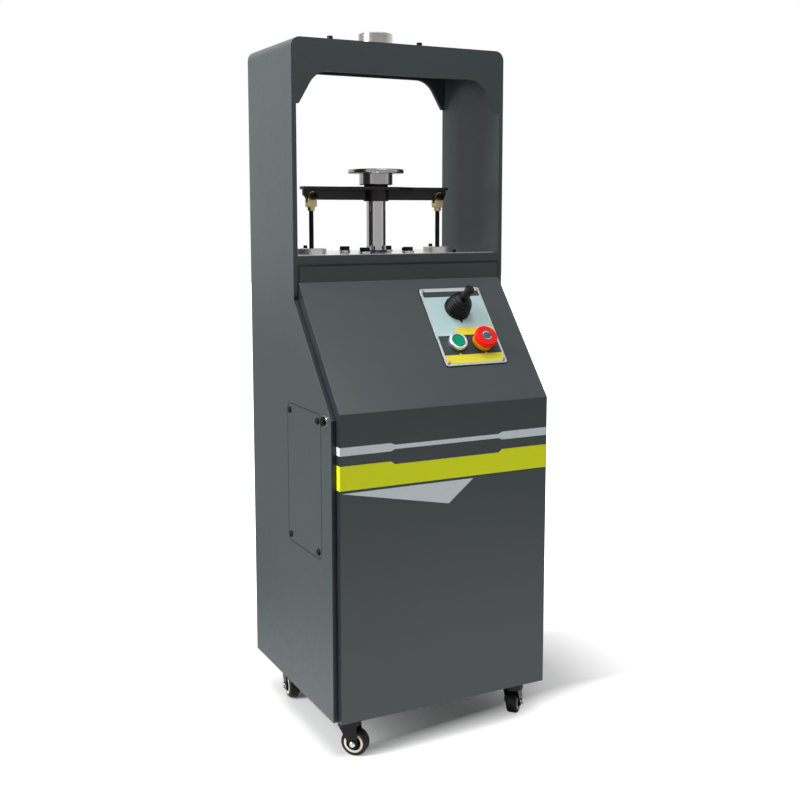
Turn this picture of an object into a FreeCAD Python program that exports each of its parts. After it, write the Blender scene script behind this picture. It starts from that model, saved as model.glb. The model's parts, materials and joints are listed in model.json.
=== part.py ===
import FreeCAD, Part
import math
import os
from types import SimpleNamespace

import Sketcher
from FreeCAD import Placement, Rotation, Vector

# Electric clay extruder: a floor standing frame on castors with a hydraulic ram, a cross beam on
# the ram tied to two pull-back gas springs, and an arch that holds the mould down while its
# contents come out at the top. Millimetres, +Z up, -Y is the operator's side, origin on the floor
# under the middle of the frame.

DRIVING_SIZES = {
    # bent frame: two side plates and the top in one
    "overall_width": 400,
    "body_depth": 367,
    "cover_proud": 13,
    "arch_depth": 205,
    "arch_top": 1162,
    "ground_clearance": 73,
    "plate_thickness": 8,
    "bend_radius": 16,
    "side_kink_upper": 739,
    "side_kink_lower": 562,
    "outlet_diameter": 110,
    # fascias under the top
    "fascia_bottom": 1110,
    "rear_fascia_bottom": 1130,
    "gusset_drop": 53,
    "gusset_foot": 5,
    "gusset_run": 36,
    "gusset_radius": 40,
    # table
    "table_top": 812,
    "table_thickness": 16,
    "crossbar_top": 811,
    "crossbar_bottom": 796,
    "base_thickness": 8,
    # sheet metal covers
    "sheet_thickness": 2,
    "cover_gap": 0.4,
    "cover_top": 795.7,
    "cover_upper_depth": 207.5,
    "cover_kink_upper": 767.3,
    "cover_kink_lower": 573,
    "cover_return": 60,
    "cover_top_return": 22,
    "rear_return": 15,
    "rear_margin": 12,
    "vent_width": 120,
    "vent_height": 5,
    "vent_pitch": 18,
    "vent_bottom": 625,
    # cover bolts at the sides
    "cover_bolt_inset": 36.3,
    "cover_bolt_height": 558,
    "cover_bolt_diameter": 6,
    "cover_bolt_across": 13,
    "cover_bolt_head": 5,
    "cover_washer_diameter": 18,
    "cover_washer_thickness": 1.6,
    # access panel in the left side
    "access_inset": 125,
    "access_height": 447,
    "access_width": 141,
    "access_length": 236,
    "access_radius": 12,
    "access_thickness": 3,
    "access_gap": 0.8,
    "access_ledge": 18,
    "access_screw_inset": 11,
    "access_screw_diameter": 11,
    "access_screw_height": 2.8,
    "panhead_diameter": 8,
    "panhead_height": 2.6,
    "panhead_rounding": 1.3,
    "panhead_shank": 4,
    "panhead_length": 7,
    "rear_screw_spacing": 150,
    # ram and what it carries
    "ram_diameter": 35,
    "ram_spigot": 30,
    "ram_bottom": 545,
    "beam_bottom": 902,
    "beam_plate_top": 927,
    "beam_plate_thickness": 5,
    "beam_length": 284,
    "beam_end_width": 20,
    "beam_middle_width": 60,
    "beam_middle_length": 60,
    "beam_taper_length": 40,
    "beam_rib": 8,
    "beam_rib_length": 280,
    "beam_rib_bottom": 904,
    "beam_rib_chamfer": 9,
    "beam_sleeve": 45,
    "locknut_diameter": 42.7,
    "locknut_height": 3.4,
    "locknut_notch": 6,
    "locknut_notch_depth": 3,
    "hub_diameter": 60,
    "hub_height": 20.3,
    "hub_chamfer": 1.5,
    "hub_bore_depth": 14,
    "disc_diameter": 100,
    "disc_thickness": 7.3,
    "disc_rounding": 2,
    # gas springs, rods and clevises
    "rod_spacing": 250,
    "rod_diameter": 8,
    "rod_bottom": 575,
    "clevis_pin_height": 910.5,
    "clevis_width": 15.5,
    "clevis_depth": 16,
    "clevis_bottom": 891,
    "clevis_slot_clearance": 0.2,
    "clevis_slot_bottom": 899,
    "clevis_chamfer": 2.5,
    "clevis_rounding": 7.6,
    "clevis_neck_diameter": 13,
    "clevis_neck_bottom": 885,
    "clevis_rod_depth": 8,
    "pin_diameter": 8,
    "pin_head_diameter": 13.5,
    "pin_head_height": 8,
    "pin_head_rounding": 1,
    "pin_socket_across": 6,
    "pin_nut_across": 13,
    "pin_nut_height": 6.5,
    "flange_diameter": 52.5,
    "flange_height": 8,
    "flange_chamfer": 0.8,
    "flange_spigot": 30,
    "flange_spigot_bottom": 775,
    "flange_screw_radius": 20,
    "flange_screw_head": 7,
    "flange_screw_proud": 5,
    "flange_screw_rounding": 1,
    "flange_screw_shank": 4,
    "flange_screw_length": 14,
    "flange_screw_sink": 4.4,
    "sunk_screw_height": 4,
    "spring_diameter": 19,
    "spring_bore": 12,
    "spring_bottom": 505,
    "spring_end": 6,
    "running_fit": 0.05,
    # lift cylinder and wiper
    "cylinder_diameter": 64,
    "cylinder_bore": 42,
    "cylinder_bottom": 475,
    "cylinder_end": 12,
    "gland_length": 60,
    "cylinder_flange": 152,
    "cylinder_flange_thickness": 16,
    "wiper_diameter": 46,
    "wiper_depth": 6,
    "wiper_lip": 4,
    "wiper_bevel": 1,
    "wiper_edge": 1.5,
    "port_height": 505,
    "port_diameter": 18,
    "port_reach": 42,
    # table bolts
    "bolt_circle": 120,
    "bolt_diameter": 10,
    "bolt_across": 17,
    "bolt_head": 7,
    "bolt_length": 36,
    "washer_diameter": 22,
    "washer_thickness": 2.5,
    "rear_table_screw_x": 90,
    "rear_table_screw_offset": 67.5,
    "front_table_screw_x": 122,
    "front_table_screw_offset": 68,
    # stop plate under the top and the disc parked on it
    "stop_plate_length": 214,
    "stop_plate_width": 150,
    "stop_plate_thickness": 10,
    "stop_plate_bore": 104,
    "stop_plate_radius": 12,
    "stud_spacing": 174,
    "stud_diameter": 10,
    "stud_rise": 21,
    "stud_nut_across": 16,
    "stud_nut_height": 8,
    "spare_disc_diameter": 122,
    "spare_disc_thickness": 7,
    "spare_hub_height": 23,
    # control panel on the slope
    "panel_inset": 118.5,
    "panel_along": 100.5,
    "panel_width": 118,
    "panel_length": 157,
    "panel_radius": 4,
    "panel_thickness": 2,
    "panel_rim": 12,
    "panel_screw_inset": 6,
    "panel_screw_head": 6,
    "panel_screw_height": 1.6,
    "panel_screw_shank": 3,
    "panel_screw_length": 4,
    "joystick_along": 66.5,
    "joystick_base_diameter": 46,
    "joystick_base_height": 7,
    "joystick_base_bevel": 2,
    "joystick_hole": 28,
    "joystick_pivot": 6,
    "boot_foot_diameter": 43,
    "boot_top_diameter": 15,
    "boot_height": 25,
    "boot_fold": 2,
    "boot_wall": 1.2,
    "stick_diameter": 8,
    "stick_ball": 16,
    "pivot_pin_diameter": 4,
    "pivot_pin_length": 36,
    "handle_neck": 9,
    "handle_waist": 14,
    "handle_diameter": 16.5,
    "handle_bottom": 34.5,
    "handle_shoulder": 40,
    "handle_top": 61.5,
    "handle_rounding": 3,
    "button_along": 136,
    "button_half_spacing": 25,
    "button_hole": 22.5,
    "button_barrel": 22,
    "button_stem": 14,
    "button_bore": 15,
    "barrel_depth": 26,
    "stem_depth": 20,
    "bezel_diameter": 30,
    "bezel_height": 6,
    "bezel_chamfer": 1,
    "cap_diameter": 23.2,
    "cap_clearance": 0.55,
    "cap_height": 4,
    "cap_top": 11,
    "collar_height": 10,
    "collar_flare": 1.2,
    "collar_clearance": 1,
    "collar_well": 22,
    "collar_well_floor": 4,
    "mushroom_diameter": 40,
    "mushroom_wall": 2.2,
    "mushroom_bottom": 12.6,
    "mushroom_recess": 6.5,
    "mushroom_boss": 20,
    "mushroom_boss_bottom": 14,
    "mushroom_top": 22.5,
    "mushroom_rounding": 2.5,
    "mushroom_lip_rounding": 0.8,
    "mushroom_socket": 8,
    "contact_width": 30,
    "contact_length": 40,
    "contact_height": 34,
    "joystick_box_width": 42,
    "joystick_box_height": 42,
    "joystick_cavity": 32,
    "joystick_play": 0.3,
    # power pack on the base plate
    "tank_width": 170,
    "tank_depth": 130,
    "tank_height": 130,
    "tank_x": -60,
    "tank_radius": 10,
    "valve_width": 90,
    "valve_depth": 80,
    "valve_height": 50,
    "motor_diameter": 110,
    "motor_foot_diameter": 66,
    "motor_crown_diameter": 99,
    "motor_height": 150,
    "motor_cap_height": 20,
    "pipe_diameter": 8,
    "pipe_x": 85,
    "pipe_bend": 20,
    "contactor_width": 120,
    "contactor_depth": 60,
    "contactor_height": 190,
    "contactor_x": 100,
    "contactor_inset": 107,
    "gland_x": 120,
    "gland_height": 155,
    "gland_flange": 28,
    "gland_flange_height": 3,
    "gland_bevel": 1,
    "gland_crown": 0.5,
    "gland_body": 18,
    "gland_length_inside": 24,
    # castors
    "castor_x": 158.5,
    "castor_front_inset": 45,
    "castor_rear_inset": 62,
    "castor_trail": 11,
    "wheel_diameter": 45,
    "wheel_width": 19,
    "tyre_rounding": 4,
    "core_diameter": 33,
    "core_width": 19.4,
    "core_hub_diameter": 16,
    "core_hub_width": 20,
    "core_web": 8,
    "core_rim": 3,
    "core_draft": 1,
    "axle_diameter": 8,
    "axle_length": 33.4,
    "axle_fit": 0.05,
    "axle_nut_diameter": 11,
    "axle_nut_height": 3,
    "fork_inside": 20.8,
    "fork_cheek": 3,
    "fork_head_diameter": 38,
    "fork_head_bottom": 50,
    "fork_head_top": 59,
    "fork_eye": 8,
    "fork_eye_foot": 4.8,
    "cheek_behind": 13.3,
    "cheek_ahead": 17.1,
    "cheek_ahead_top": 15.2,
    "stem_diameter": 12,
    "stem_bottom": 52,
    "stem_head_diameter": 20,
    "stem_head_height": 2,
    "stem_head_clearance": 0.5,
    "swivel_gap": 0.3,
    "stem_end": 2,
    "stem_nut_across": 19,
    "stem_nut_height": 9,
    "race_diameter": 30,
    "race_bevel": 1,
    "heading_front_left": -134,
    "heading_front_right": -47,
    "heading_rear_left": 173.7,
    "heading_rear_right": -170,
}

DOC = FreeCAD.newDocument("ClayExtruder")
PARTS = []


class Size:
    """A number from the sheet, or worked out from such numbers, with its formula."""

    def __init__(self, number, formula):
        self.number = float(number)
        self.formula = formula

    def __add__(self, other):
        return Size(self.number + number_of(other), f"({self.formula} + {formula_of(other)})")

    def __radd__(self, other):
        return Size(number_of(other) + self.number, f"({formula_of(other)} + {self.formula})")

    def __sub__(self, other):
        return Size(self.number - number_of(other), f"({self.formula} - {formula_of(other)})")

    def __rsub__(self, other):
        return Size(number_of(other) - self.number, f"({formula_of(other)} - {self.formula})")

    def __mul__(self, other):
        return Size(self.number * number_of(other), f"({self.formula} * {formula_of(other)})")

    __rmul__ = __mul__

    def __truediv__(self, other):
        return Size(self.number / number_of(other), f"({self.formula} / {formula_of(other)})")

    def __neg__(self):
        return Size(-self.number, f"(0 - {self.formula})")


def number_of(value):
    return value.number if isinstance(value, Size) else float(value)


def formula_of(value):
    return value.formula if isinstance(value, Size) else f"({value})"


def root(value):
    return Size(math.sqrt(value.number), f"sqrt({value.formula})")


def make_sheet():
    """The sheet of driving sizes, and the same sizes as values to build with."""
    sheet = DOC.addObject("Spreadsheet::Sheet", "Sizes")
    sizes = {}
    for row, (name, value) in enumerate(DRIVING_SIZES.items(), start=1):
        sheet.set(f"A{row}", name.replace("_", " "))
        sheet.set(f"B{row}", str(value))
        sheet.setAlias(f"B{row}", name)
        sizes[name] = Size(value, f"Sizes.{name}")
    DOC.recompute()
    return SimpleNamespace(**sizes)


SIZE = make_sheet()

# places that many pieces share
BACK = SIZE.body_depth / 2
ARCH_FRONT = BACK - SIZE.arch_depth
COVER_FRONT = BACK - SIZE.body_depth
FRAME_FRONT = COVER_FRONT + SIZE.cover_proud
COVER_UPPER = BACK - SIZE.cover_upper_depth
INSIDE = SIZE.overall_width / 2 - SIZE.plate_thickness
COVER_SIDE = INSIDE - SIZE.cover_gap
RAM_Y = BACK - SIZE.arch_depth / 2
ROD_X = SIZE.rod_spacing / 2
TABLE_BOTTOM = SIZE.table_top - SIZE.table_thickness
BASE_TOP = SIZE.ground_clearance + SIZE.base_thickness
TOP_INSIDE = SIZE.arch_top - SIZE.plate_thickness
REAR_SHEET = BACK - SIZE.sheet_thickness
SLOPE_RUN = SIZE.body_depth - SIZE.cover_upper_depth
SLOPE_DROP = SIZE.cover_kink_upper - SIZE.cover_kink_lower
SLOPE_LENGTH = root(SLOPE_RUN * SLOPE_RUN + SLOPE_DROP * SLOPE_DROP)
SLOPE_TILT = math.degrees(math.atan2(SLOPE_DROP.number, SLOPE_RUN.number))
HALF_BOLTS = SIZE.bolt_circle / 2 * math.sqrt(0.5)
COVER_BOLT_Y = COVER_FRONT + SIZE.cover_bolt_inset
PANEL_X = SIZE.overall_width / 2 - SIZE.panel_inset
ZERO = Size(0, "0")

# counts, and how far a cut runs past the face it starts from
VENT_COUNT = 8
BOOT_FOLDS = 4
OVERCUT = 1

# screws of a guide flange: the angle round the rod, and whether the head stands proud
FLANGE_SCREWS = ((100, True), (10, False), (190, False), (280, False))


def bind(feature, name, value):
    """Sets a size of a feature, and ties it to the sheet where it comes from there."""
    if isinstance(value, Size):
        feature.setExpression(name, value.formula)
    else:
        setattr(feature, name, value)


def new_body(label, keep=True):
    body = DOC.addObject("PartDesign::Body", label)
    body.Label = label
    if keep:
        PARTS.append(body)
    return body


def place(piece, across=0, along=0, height=0, rotation=None):
    """Puts a piece at its place, with the place tied to the sheet."""
    spot = Vector(number_of(across), number_of(along), number_of(height))
    piece.Placement = Placement(spot, rotation or Rotation())
    for letter, value in zip("xyz", (across, along, height)):
        if isinstance(value, Size):
            piece.setExpression(f"Placement.Base.{letter}", value.formula)


def new_sketch(body, role, rise=0):
    """A sketch on one of the body's own origin planes, raised along that plane's normal."""
    sketch = body.newObject("Sketcher::SketchObject", body.Name + "Sketch")
    plane = [item for item in body.Origin.OriginFeatures if item.Role == role][0]
    sketch.AttachmentSupport = (plane, [""])
    sketch.MapMode = "FlatFace"
    sketch.AttachmentOffset = Placement(Vector(0, 0, number_of(rise)), Rotation())
    if isinstance(rise, Size):
        sketch.setExpression("AttachmentOffset.Base.z", rise.formula)
    return sketch


def tie(sketch, edge, end, spot):
    """Ties one point of a sketch to its place, on the axis itself where that is zero."""
    horizontal_axis, vertical_axis = -1, -2
    ways = (("DistanceX", vertical_axis, spot[0]), ("DistanceY", horizontal_axis, spot[1]))
    for kind, axis, value in ways:
        number = number_of(value)
        if abs(number) < 1e-9:
            sketch.addConstraint(Sketcher.Constraint("PointOnObject", edge, end, axis))
            continue
        index = sketch.addConstraint(Sketcher.Constraint(kind, -1, 1, edge, end, number))
        if isinstance(value, Size):
            sketch.setExpression(f"Constraints[{index}]", value.formula)


def outline(body, role, corners, rise=0):
    """A closed outline of straight runs through the given corners."""
    sketch = new_sketch(body, role, rise)
    spots = [Vector(number_of(first), number_of(second), 0) for first, second in corners]
    count = len(spots)
    for index in range(count):
        sketch.addGeometry(Part.LineSegment(spots[index], spots[(index + 1) % count]), False)
    for index in range(count):
        sketch.addConstraint(Sketcher.Constraint("Coincident", index, 2, (index + 1) % count, 1))
    for index, corner in enumerate(corners):
        tie(sketch, index, 1, corner)
    return sketch


def rectangle(body, role, centre, width, height, rise=0):
    left = centre[0] - width / 2
    right = centre[0] + width / 2
    bottom = centre[1] - height / 2
    top = centre[1] + height / 2
    return outline(body, role, [(left, bottom), (right, bottom), (right, top), (left, top)], rise)


def circles(body, role, spots, diameter, rise=0):
    """Equal circles round the given spots."""
    sketch = new_sketch(body, role, rise)
    for index, spot in enumerate(spots):
        middle = Vector(number_of(spot[0]), number_of(spot[1]), 0)
        sketch.addGeometry(Part.Circle(middle, Vector(0, 0, 1), number_of(diameter) / 2), False)
        tie(sketch, index, 3, spot)
        number = sketch.addConstraint(Sketcher.Constraint("Diameter", index, number_of(diameter)))
        if isinstance(diameter, Size):
            sketch.setExpression(f"Constraints[{number}]", diameter.formula)
    return sketch


def hexagon(body, role, spot, across, rise=0):
    """A regular hexagon, its size given across the flats."""
    reach = across / math.sqrt(3)
    half = across / 2
    x, y = spot
    corners = [(x + reach, y), (x + reach / 2, y + half), (x - reach / 2, y + half),
               (x - reach, y), (x - reach / 2, y - half), (x + reach / 2, y - half)]
    return outline(body, role, corners, rise)


def extrude(kind, body, sketch, length, flip, both_sides):
    feature = body.newObject("PartDesign::" + kind, body.Name + kind)
    feature.Profile = sketch
    if length is None:
        feature.Type = "ThroughAll"
    else:
        bind(feature, "Length", length)
    feature.SideType = "Symmetric" if both_sides else "One side"
    feature.Reversed = flip
    return feature


def pad(body, sketch, length, flip=False, both_sides=False):
    return extrude("Pad", body, sketch, length, flip, both_sides)


def pocket(body, sketch, length=None, flip=False, both_sides=False):
    return extrude("Pocket", body, sketch, length, flip, both_sides)


def revolve(body, sketch, kind="Revolution"):
    """Turns an outline round the body's own Z axis."""
    feature = body.newObject("PartDesign::" + kind, body.Name + kind)
    feature.Profile = sketch
    feature.ReferenceAxis = (sketch, ["V_Axis"])
    feature.Angle = 360
    return feature


def turned(label, profile, keep=True):
    """A turned piece from its half profile, given as radius and height."""
    body = new_body(label, keep)
    revolve(body, outline(body, "XZ_Plane", profile))
    return body


def edges_along(feature, letter, places):
    """Names of the straight edges along one axis through the given places across it."""
    DOC.recompute()
    others = [other for other in "xyz" if other != letter]
    names = []
    for index, edge in enumerate(feature.Shape.Edges, start=1):
        if not isinstance(edge.Curve, Part.Line) or abs(getattr(edge.Curve.Direction, letter)) < 0.999:
            continue
        middle = edge.CenterOfMass
        for spot in places:
            off = [abs(getattr(middle, other) - number_of(value)) for other, value in zip(others, spot)]
            if max(off) < 0.01:
                names.append(f"Edge{index}")
    if len(names) < len(places):
        raise ValueError(f"{feature.Name}: an edge to round is missing")
    return names


def circle_edges(feature, height, diameter):
    """Names of the level round edges at one height with one diameter."""
    DOC.recompute()
    names = []
    for index, edge in enumerate(feature.Shape.Edges, start=1):
        if isinstance(edge.Curve, Part.Circle) and abs(edge.CenterOfMass.z - number_of(height)) < 0.01:
            if abs(edge.Curve.Radius * 2 - number_of(diameter)) < 0.01:
                names.append(f"Edge{index}")
    if not names:
        raise ValueError(f"{feature.Name}: a round edge is missing")
    return names


def fillet(body, feature, edges, radius):
    rounding = body.newObject("PartDesign::Fillet", body.Name + "Fillet")
    rounding.Base = (feature, edges)
    bind(rounding, "Radius", radius)
    return rounding


def shape_feature(label, shape, placement=None):
    """A piece whose shape is worked out here, with its place set after its shape."""
    piece = DOC.addObject("Part::Feature", label)
    piece.Label = label
    piece.Shape = shape
    piece.Placement = placement or Placement()
    PARTS.append(piece)
    return piece


def copies(masters, placements):
    """Copies of the solids of some pieces, one set at each placement."""
    DOC.recompute()
    solids = []
    for placement in placements:
        for master in masters:
            for solid in master.Shape.Solids:
                moved = solid.copy()
                moved.Placement = placement.multiply(moved.Placement)
                solids.append(moved)
    return solids


def group(label, masters, placements):
    return shape_feature(label, Part.makeCompound(copies(masters, placements)))


def at(across, along, height, rotation=None):
    spot = Vector(number_of(across), number_of(along), number_of(height))
    return Placement(spot, rotation or Rotation())


def on_slope(across, along, height=0):
    """Coordinates of a point of the sloping desk: how far down it and how far above it."""
    along_y = COVER_UPPER - SLOPE_RUN / SLOPE_LENGTH * along - SLOPE_DROP / SLOPE_LENGTH * height
    along_z = SIZE.cover_kink_upper - SLOPE_DROP / SLOPE_LENGTH * along + SLOPE_RUN / SLOPE_LENGTH * height
    return across, along_y, along_z


def desk_rotation():
    return Rotation(Vector(1, 0, 0), SLOPE_TILT)


def place_on_slope(piece, across, along):
    place(piece, *on_slope(across, along), desk_rotation())


def make_arch_frame():
    body = new_body("arch_frame")
    half = SIZE.overall_width / 2
    shape = [(-half, SIZE.ground_clearance), (-half, SIZE.arch_top), (half, SIZE.arch_top),
             (half, SIZE.ground_clearance), (INSIDE, SIZE.ground_clearance), (INSIDE, TOP_INSIDE),
             (-INSIDE, TOP_INSIDE), (-INSIDE, SIZE.ground_clearance)]
    bent = pad(body, outline(body, "XZ_Plane", shape, -BACK), BACK - FRAME_FRONT)
    outer = edges_along(bent, "y", [(-half, SIZE.arch_top), (half, SIZE.arch_top)])
    bent = fillet(body, bent, outer, SIZE.bend_radius)
    inner = edges_along(bent, "y", [(-INSIDE, TOP_INSIDE), (INSIDE, TOP_INSIDE)])
    fillet(body, bent, inner, SIZE.bend_radius - SIZE.plate_thickness)
    beyond = FRAME_FRONT - SIZE.plate_thickness
    above = SIZE.arch_top + SIZE.plate_thickness
    step = [(ARCH_FRONT, above), (ARCH_FRONT, SIZE.side_kink_upper), (FRAME_FRONT, SIZE.side_kink_lower),
            (beyond, SIZE.side_kink_lower), (beyond, above)]
    pocket(body, outline(body, "YZ_Plane", step), SIZE.overall_width * 2, both_sides=True)
    bolt_spot = [(COVER_BOLT_Y, SIZE.cover_bolt_height)]
    pocket(body, circles(body, "YZ_Plane", bolt_spot, SIZE.cover_bolt_diameter),
           SIZE.overall_width * 2, both_sides=True)
    cut_access_opening(body)
    outlet = circles(body, "XY_Plane", [(0, RAM_Y)], SIZE.outlet_diameter, SIZE.arch_top)
    pocket(body, outlet, SIZE.plate_thickness * 2)
    studs = [(side * SIZE.stud_spacing / 2, RAM_Y) for side in (-1, 1)]
    holes = circles(body, "XY_Plane", studs, SIZE.stud_diameter, SIZE.arch_top)
    pocket(body, holes, SIZE.plate_thickness * 2)
    return body


def access_screw_spots():
    """Where the screws of the access panel are, as depth and height."""
    across = SIZE.access_width / 2 - SIZE.access_screw_inset
    up = SIZE.access_length / 2 - SIZE.access_screw_inset
    middle = COVER_FRONT + SIZE.access_inset
    return [(middle + side * across, SIZE.access_height + end * up)
            for side in (-1, 1) for end in (-1, 1)]


def access_outline(body, spare):
    """The access panel's outline, wider or narrower by some spare on each side."""
    centre = (COVER_FRONT + SIZE.access_inset, SIZE.access_height)
    width = SIZE.access_width + spare * 2
    length = SIZE.access_length + spare * 2
    sketch = rectangle(body, "YZ_Plane", centre, width, length, -SIZE.overall_width / 2)
    corners = [(centre[0] + across * width / 2, centre[1] + up * length / 2)
               for across in (-1, 1) for up in (-1, 1)]
    return sketch, corners


def cut_access_opening(body):
    """A shallow seat for the panel, and the opening behind it."""
    seat, corners = access_outline(body, SIZE.access_gap)
    sunk = pocket(body, seat, SIZE.access_thickness, flip=True)
    edges = edges_along(sunk, "x", corners)
    fillet(body, sunk, edges, SIZE.access_radius + SIZE.access_gap)
    opening, corners = access_outline(body, -SIZE.access_ledge)
    through = pocket(body, opening, SIZE.plate_thickness * 2, flip=True)
    fillet(body, through, edges_along(through, "x", corners), SIZE.access_radius)
    holes = circles(body, "YZ_Plane", access_screw_spots(), SIZE.panhead_shank, -SIZE.overall_width / 2)
    pocket(body, holes, SIZE.plate_thickness * 2, flip=True)


def make_fascia(label, bottom, front_face):
    """A plate under the top with a gusset down each side."""
    body = new_body(label)
    foot = bottom - SIZE.gusset_drop
    left = [(-INSIDE, TOP_INSIDE), (-INSIDE, foot), (-INSIDE + SIZE.gusset_foot, foot),
            (-INSIDE + SIZE.gusset_run, bottom)]
    right = [(-across, up) for across, up in reversed(left)]
    plate = pad(body, outline(body, "XZ_Plane", left + right, -(front_face + SIZE.plate_thickness)),
                SIZE.plate_thickness)
    bend = INSIDE - SIZE.gusset_run
    hollow = edges_along(plate, "y", [(-bend, bottom), (bend, bottom)])
    plate = fillet(body, plate, hollow, SIZE.gusset_radius)
    upper = edges_along(plate, "y", [(-INSIDE, TOP_INSIDE), (INSIDE, TOP_INSIDE)])
    fillet(body, plate, upper, SIZE.bend_radius - SIZE.plate_thickness)
    return body


def make_box(label, width, depth, height, across, along, bottom, keep=True):
    """A plain block, centred across and along, standing at a height."""
    block = DOC.addObject("Part::Box", label)
    block.Label = label
    bind(block, "Length", width)
    bind(block, "Width", depth)
    bind(block, "Height", height)
    place(block, across - width / 2, along - depth / 2, bottom)
    if keep:
        PARTS.append(block)
    return block


def bolt_spots():
    """The four table bolts round the ram."""
    return [(side * HALF_BOLTS, RAM_Y + end * HALF_BOLTS) for side in (-1, 1) for end in (-1, 1)]


def rod_spots():
    return [(-ROD_X, RAM_Y), (ROD_X, RAM_Y)]


def make_table():
    make_box("table_crossbar", INSIDE * 2, SIZE.plate_thickness, SIZE.crossbar_top - SIZE.crossbar_bottom,
             ZERO, ARCH_FRONT + SIZE.plate_thickness / 2, SIZE.crossbar_bottom)
    body = new_body("table_plate")
    front = ARCH_FRONT + SIZE.plate_thickness
    shape = [(-INSIDE, front), (INSIDE, front), (INSIDE, REAR_SHEET), (-INSIDE, REAR_SHEET)]
    pad(body, outline(body, "XY_Plane", shape, TABLE_BOTTOM), SIZE.table_thickness)
    through = SIZE.table_thickness * 2
    top = SIZE.table_top
    pocket(body, circles(body, "XY_Plane", [(0, RAM_Y)], SIZE.wiper_diameter, top), SIZE.wiper_depth)
    ram_hole = SIZE.ram_diameter + SIZE.running_fit * 4
    pocket(body, circles(body, "XY_Plane", [(0, RAM_Y)], ram_hole, top), through)
    pocket(body, circles(body, "XY_Plane", bolt_spots(), SIZE.bolt_diameter, top), through)
    pocket(body, circles(body, "XY_Plane", rod_spots(), SIZE.flange_spigot, top), through)
    screws = [spot[:2] for spot in screw_spots()] + table_screw_spots()
    pocket(body, circles(body, "XY_Plane", screws, SIZE.flange_screw_shank, top), through)
    middle = top - SIZE.table_thickness / 2
    holes = [(side * SIZE.rear_screw_spacing, middle) for side in (-1, 0, 1)]
    pocket(body, circles(body, "XZ_Plane", holes, SIZE.panhead_shank, -REAR_SHEET),
           SIZE.panhead_length, flip=True)
    return body


def make_base_plate():
    body = new_body("base_plate")
    shape = [(-INSIDE, FRAME_FRONT), (INSIDE, FRAME_FRONT), (INSIDE, REAR_SHEET), (-INSIDE, REAR_SHEET)]
    pad(body, outline(body, "XY_Plane", shape, SIZE.ground_clearance), SIZE.base_thickness)
    spots = [(across, along) for across, along, heading in castor_spots()]
    pocket(body, circles(body, "XY_Plane", spots, SIZE.stem_diameter, BASE_TOP), SIZE.base_thickness * 2)
    holes = [(side * SIZE.rear_screw_spacing, SIZE.ground_clearance + SIZE.base_thickness / 2)
             for side in (-1, 0, 1)]
    pocket(body, circles(body, "XZ_Plane", holes, SIZE.panhead_shank, -REAR_SHEET),
           SIZE.panhead_length, flip=True)
    return body


def make_front_cover():
    """The folded front: upright strip, sloping desk and lower front, with side returns."""
    body = new_body("front_cover")
    bottom = SIZE.ground_clearance
    notch = BASE_TOP + SIZE.cover_gap
    front = [(COVER_UPPER, SIZE.cover_top), (COVER_UPPER, SIZE.cover_kink_upper),
             (COVER_FRONT, SIZE.cover_kink_lower), (COVER_FRONT, bottom)]
    back = [(FRAME_FRONT - SIZE.cover_gap, bottom), (FRAME_FRONT - SIZE.cover_gap, notch),
            (COVER_FRONT + SIZE.cover_return, notch),
            (COVER_FRONT + SIZE.cover_return, SIZE.cover_kink_lower),
            (COVER_UPPER + SIZE.cover_top_return, SIZE.cover_kink_upper),
            (COVER_UPPER + SIZE.cover_top_return, SIZE.cover_top)]
    pad(body, outline(body, "YZ_Plane", front + back), COVER_SIDE * 2, both_sides=True)
    wall = SIZE.sheet_thickness
    sink = wall * (SLOPE_LENGTH - SLOPE_DROP) / SLOPE_RUN
    beyond = COVER_UPPER + SIZE.cover_return * 2
    hollow = [(COVER_UPPER + wall, SIZE.cover_top - wall),
              (COVER_UPPER + wall, SIZE.cover_kink_upper - sink),
              (COVER_FRONT + wall, SIZE.cover_kink_lower - sink), (COVER_FRONT + wall, bottom + wall),
              (beyond, bottom + wall), (beyond, SIZE.cover_top - wall)]
    pocket(body, outline(body, "YZ_Plane", hollow), (COVER_SIDE - wall) * 2, both_sides=True)
    half = SIZE.panel_length / 2 - SIZE.panel_rim
    window = [on_slope(0, SIZE.panel_along + end * half, lift)[1:]
              for end, lift in ((-1, wall), (-1, -wall * 3), (1, -wall * 3), (1, wall))]
    pocket(body, outline(body, "YZ_Plane", window, PANEL_X),
           SIZE.panel_width - SIZE.panel_rim * 2, both_sides=True)
    bolt_spot = [(COVER_BOLT_Y, SIZE.cover_bolt_height)]
    pocket(body, circles(body, "YZ_Plane", bolt_spot, SIZE.cover_bolt_diameter),
           COVER_SIDE * 4, both_sides=True)
    return body


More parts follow.
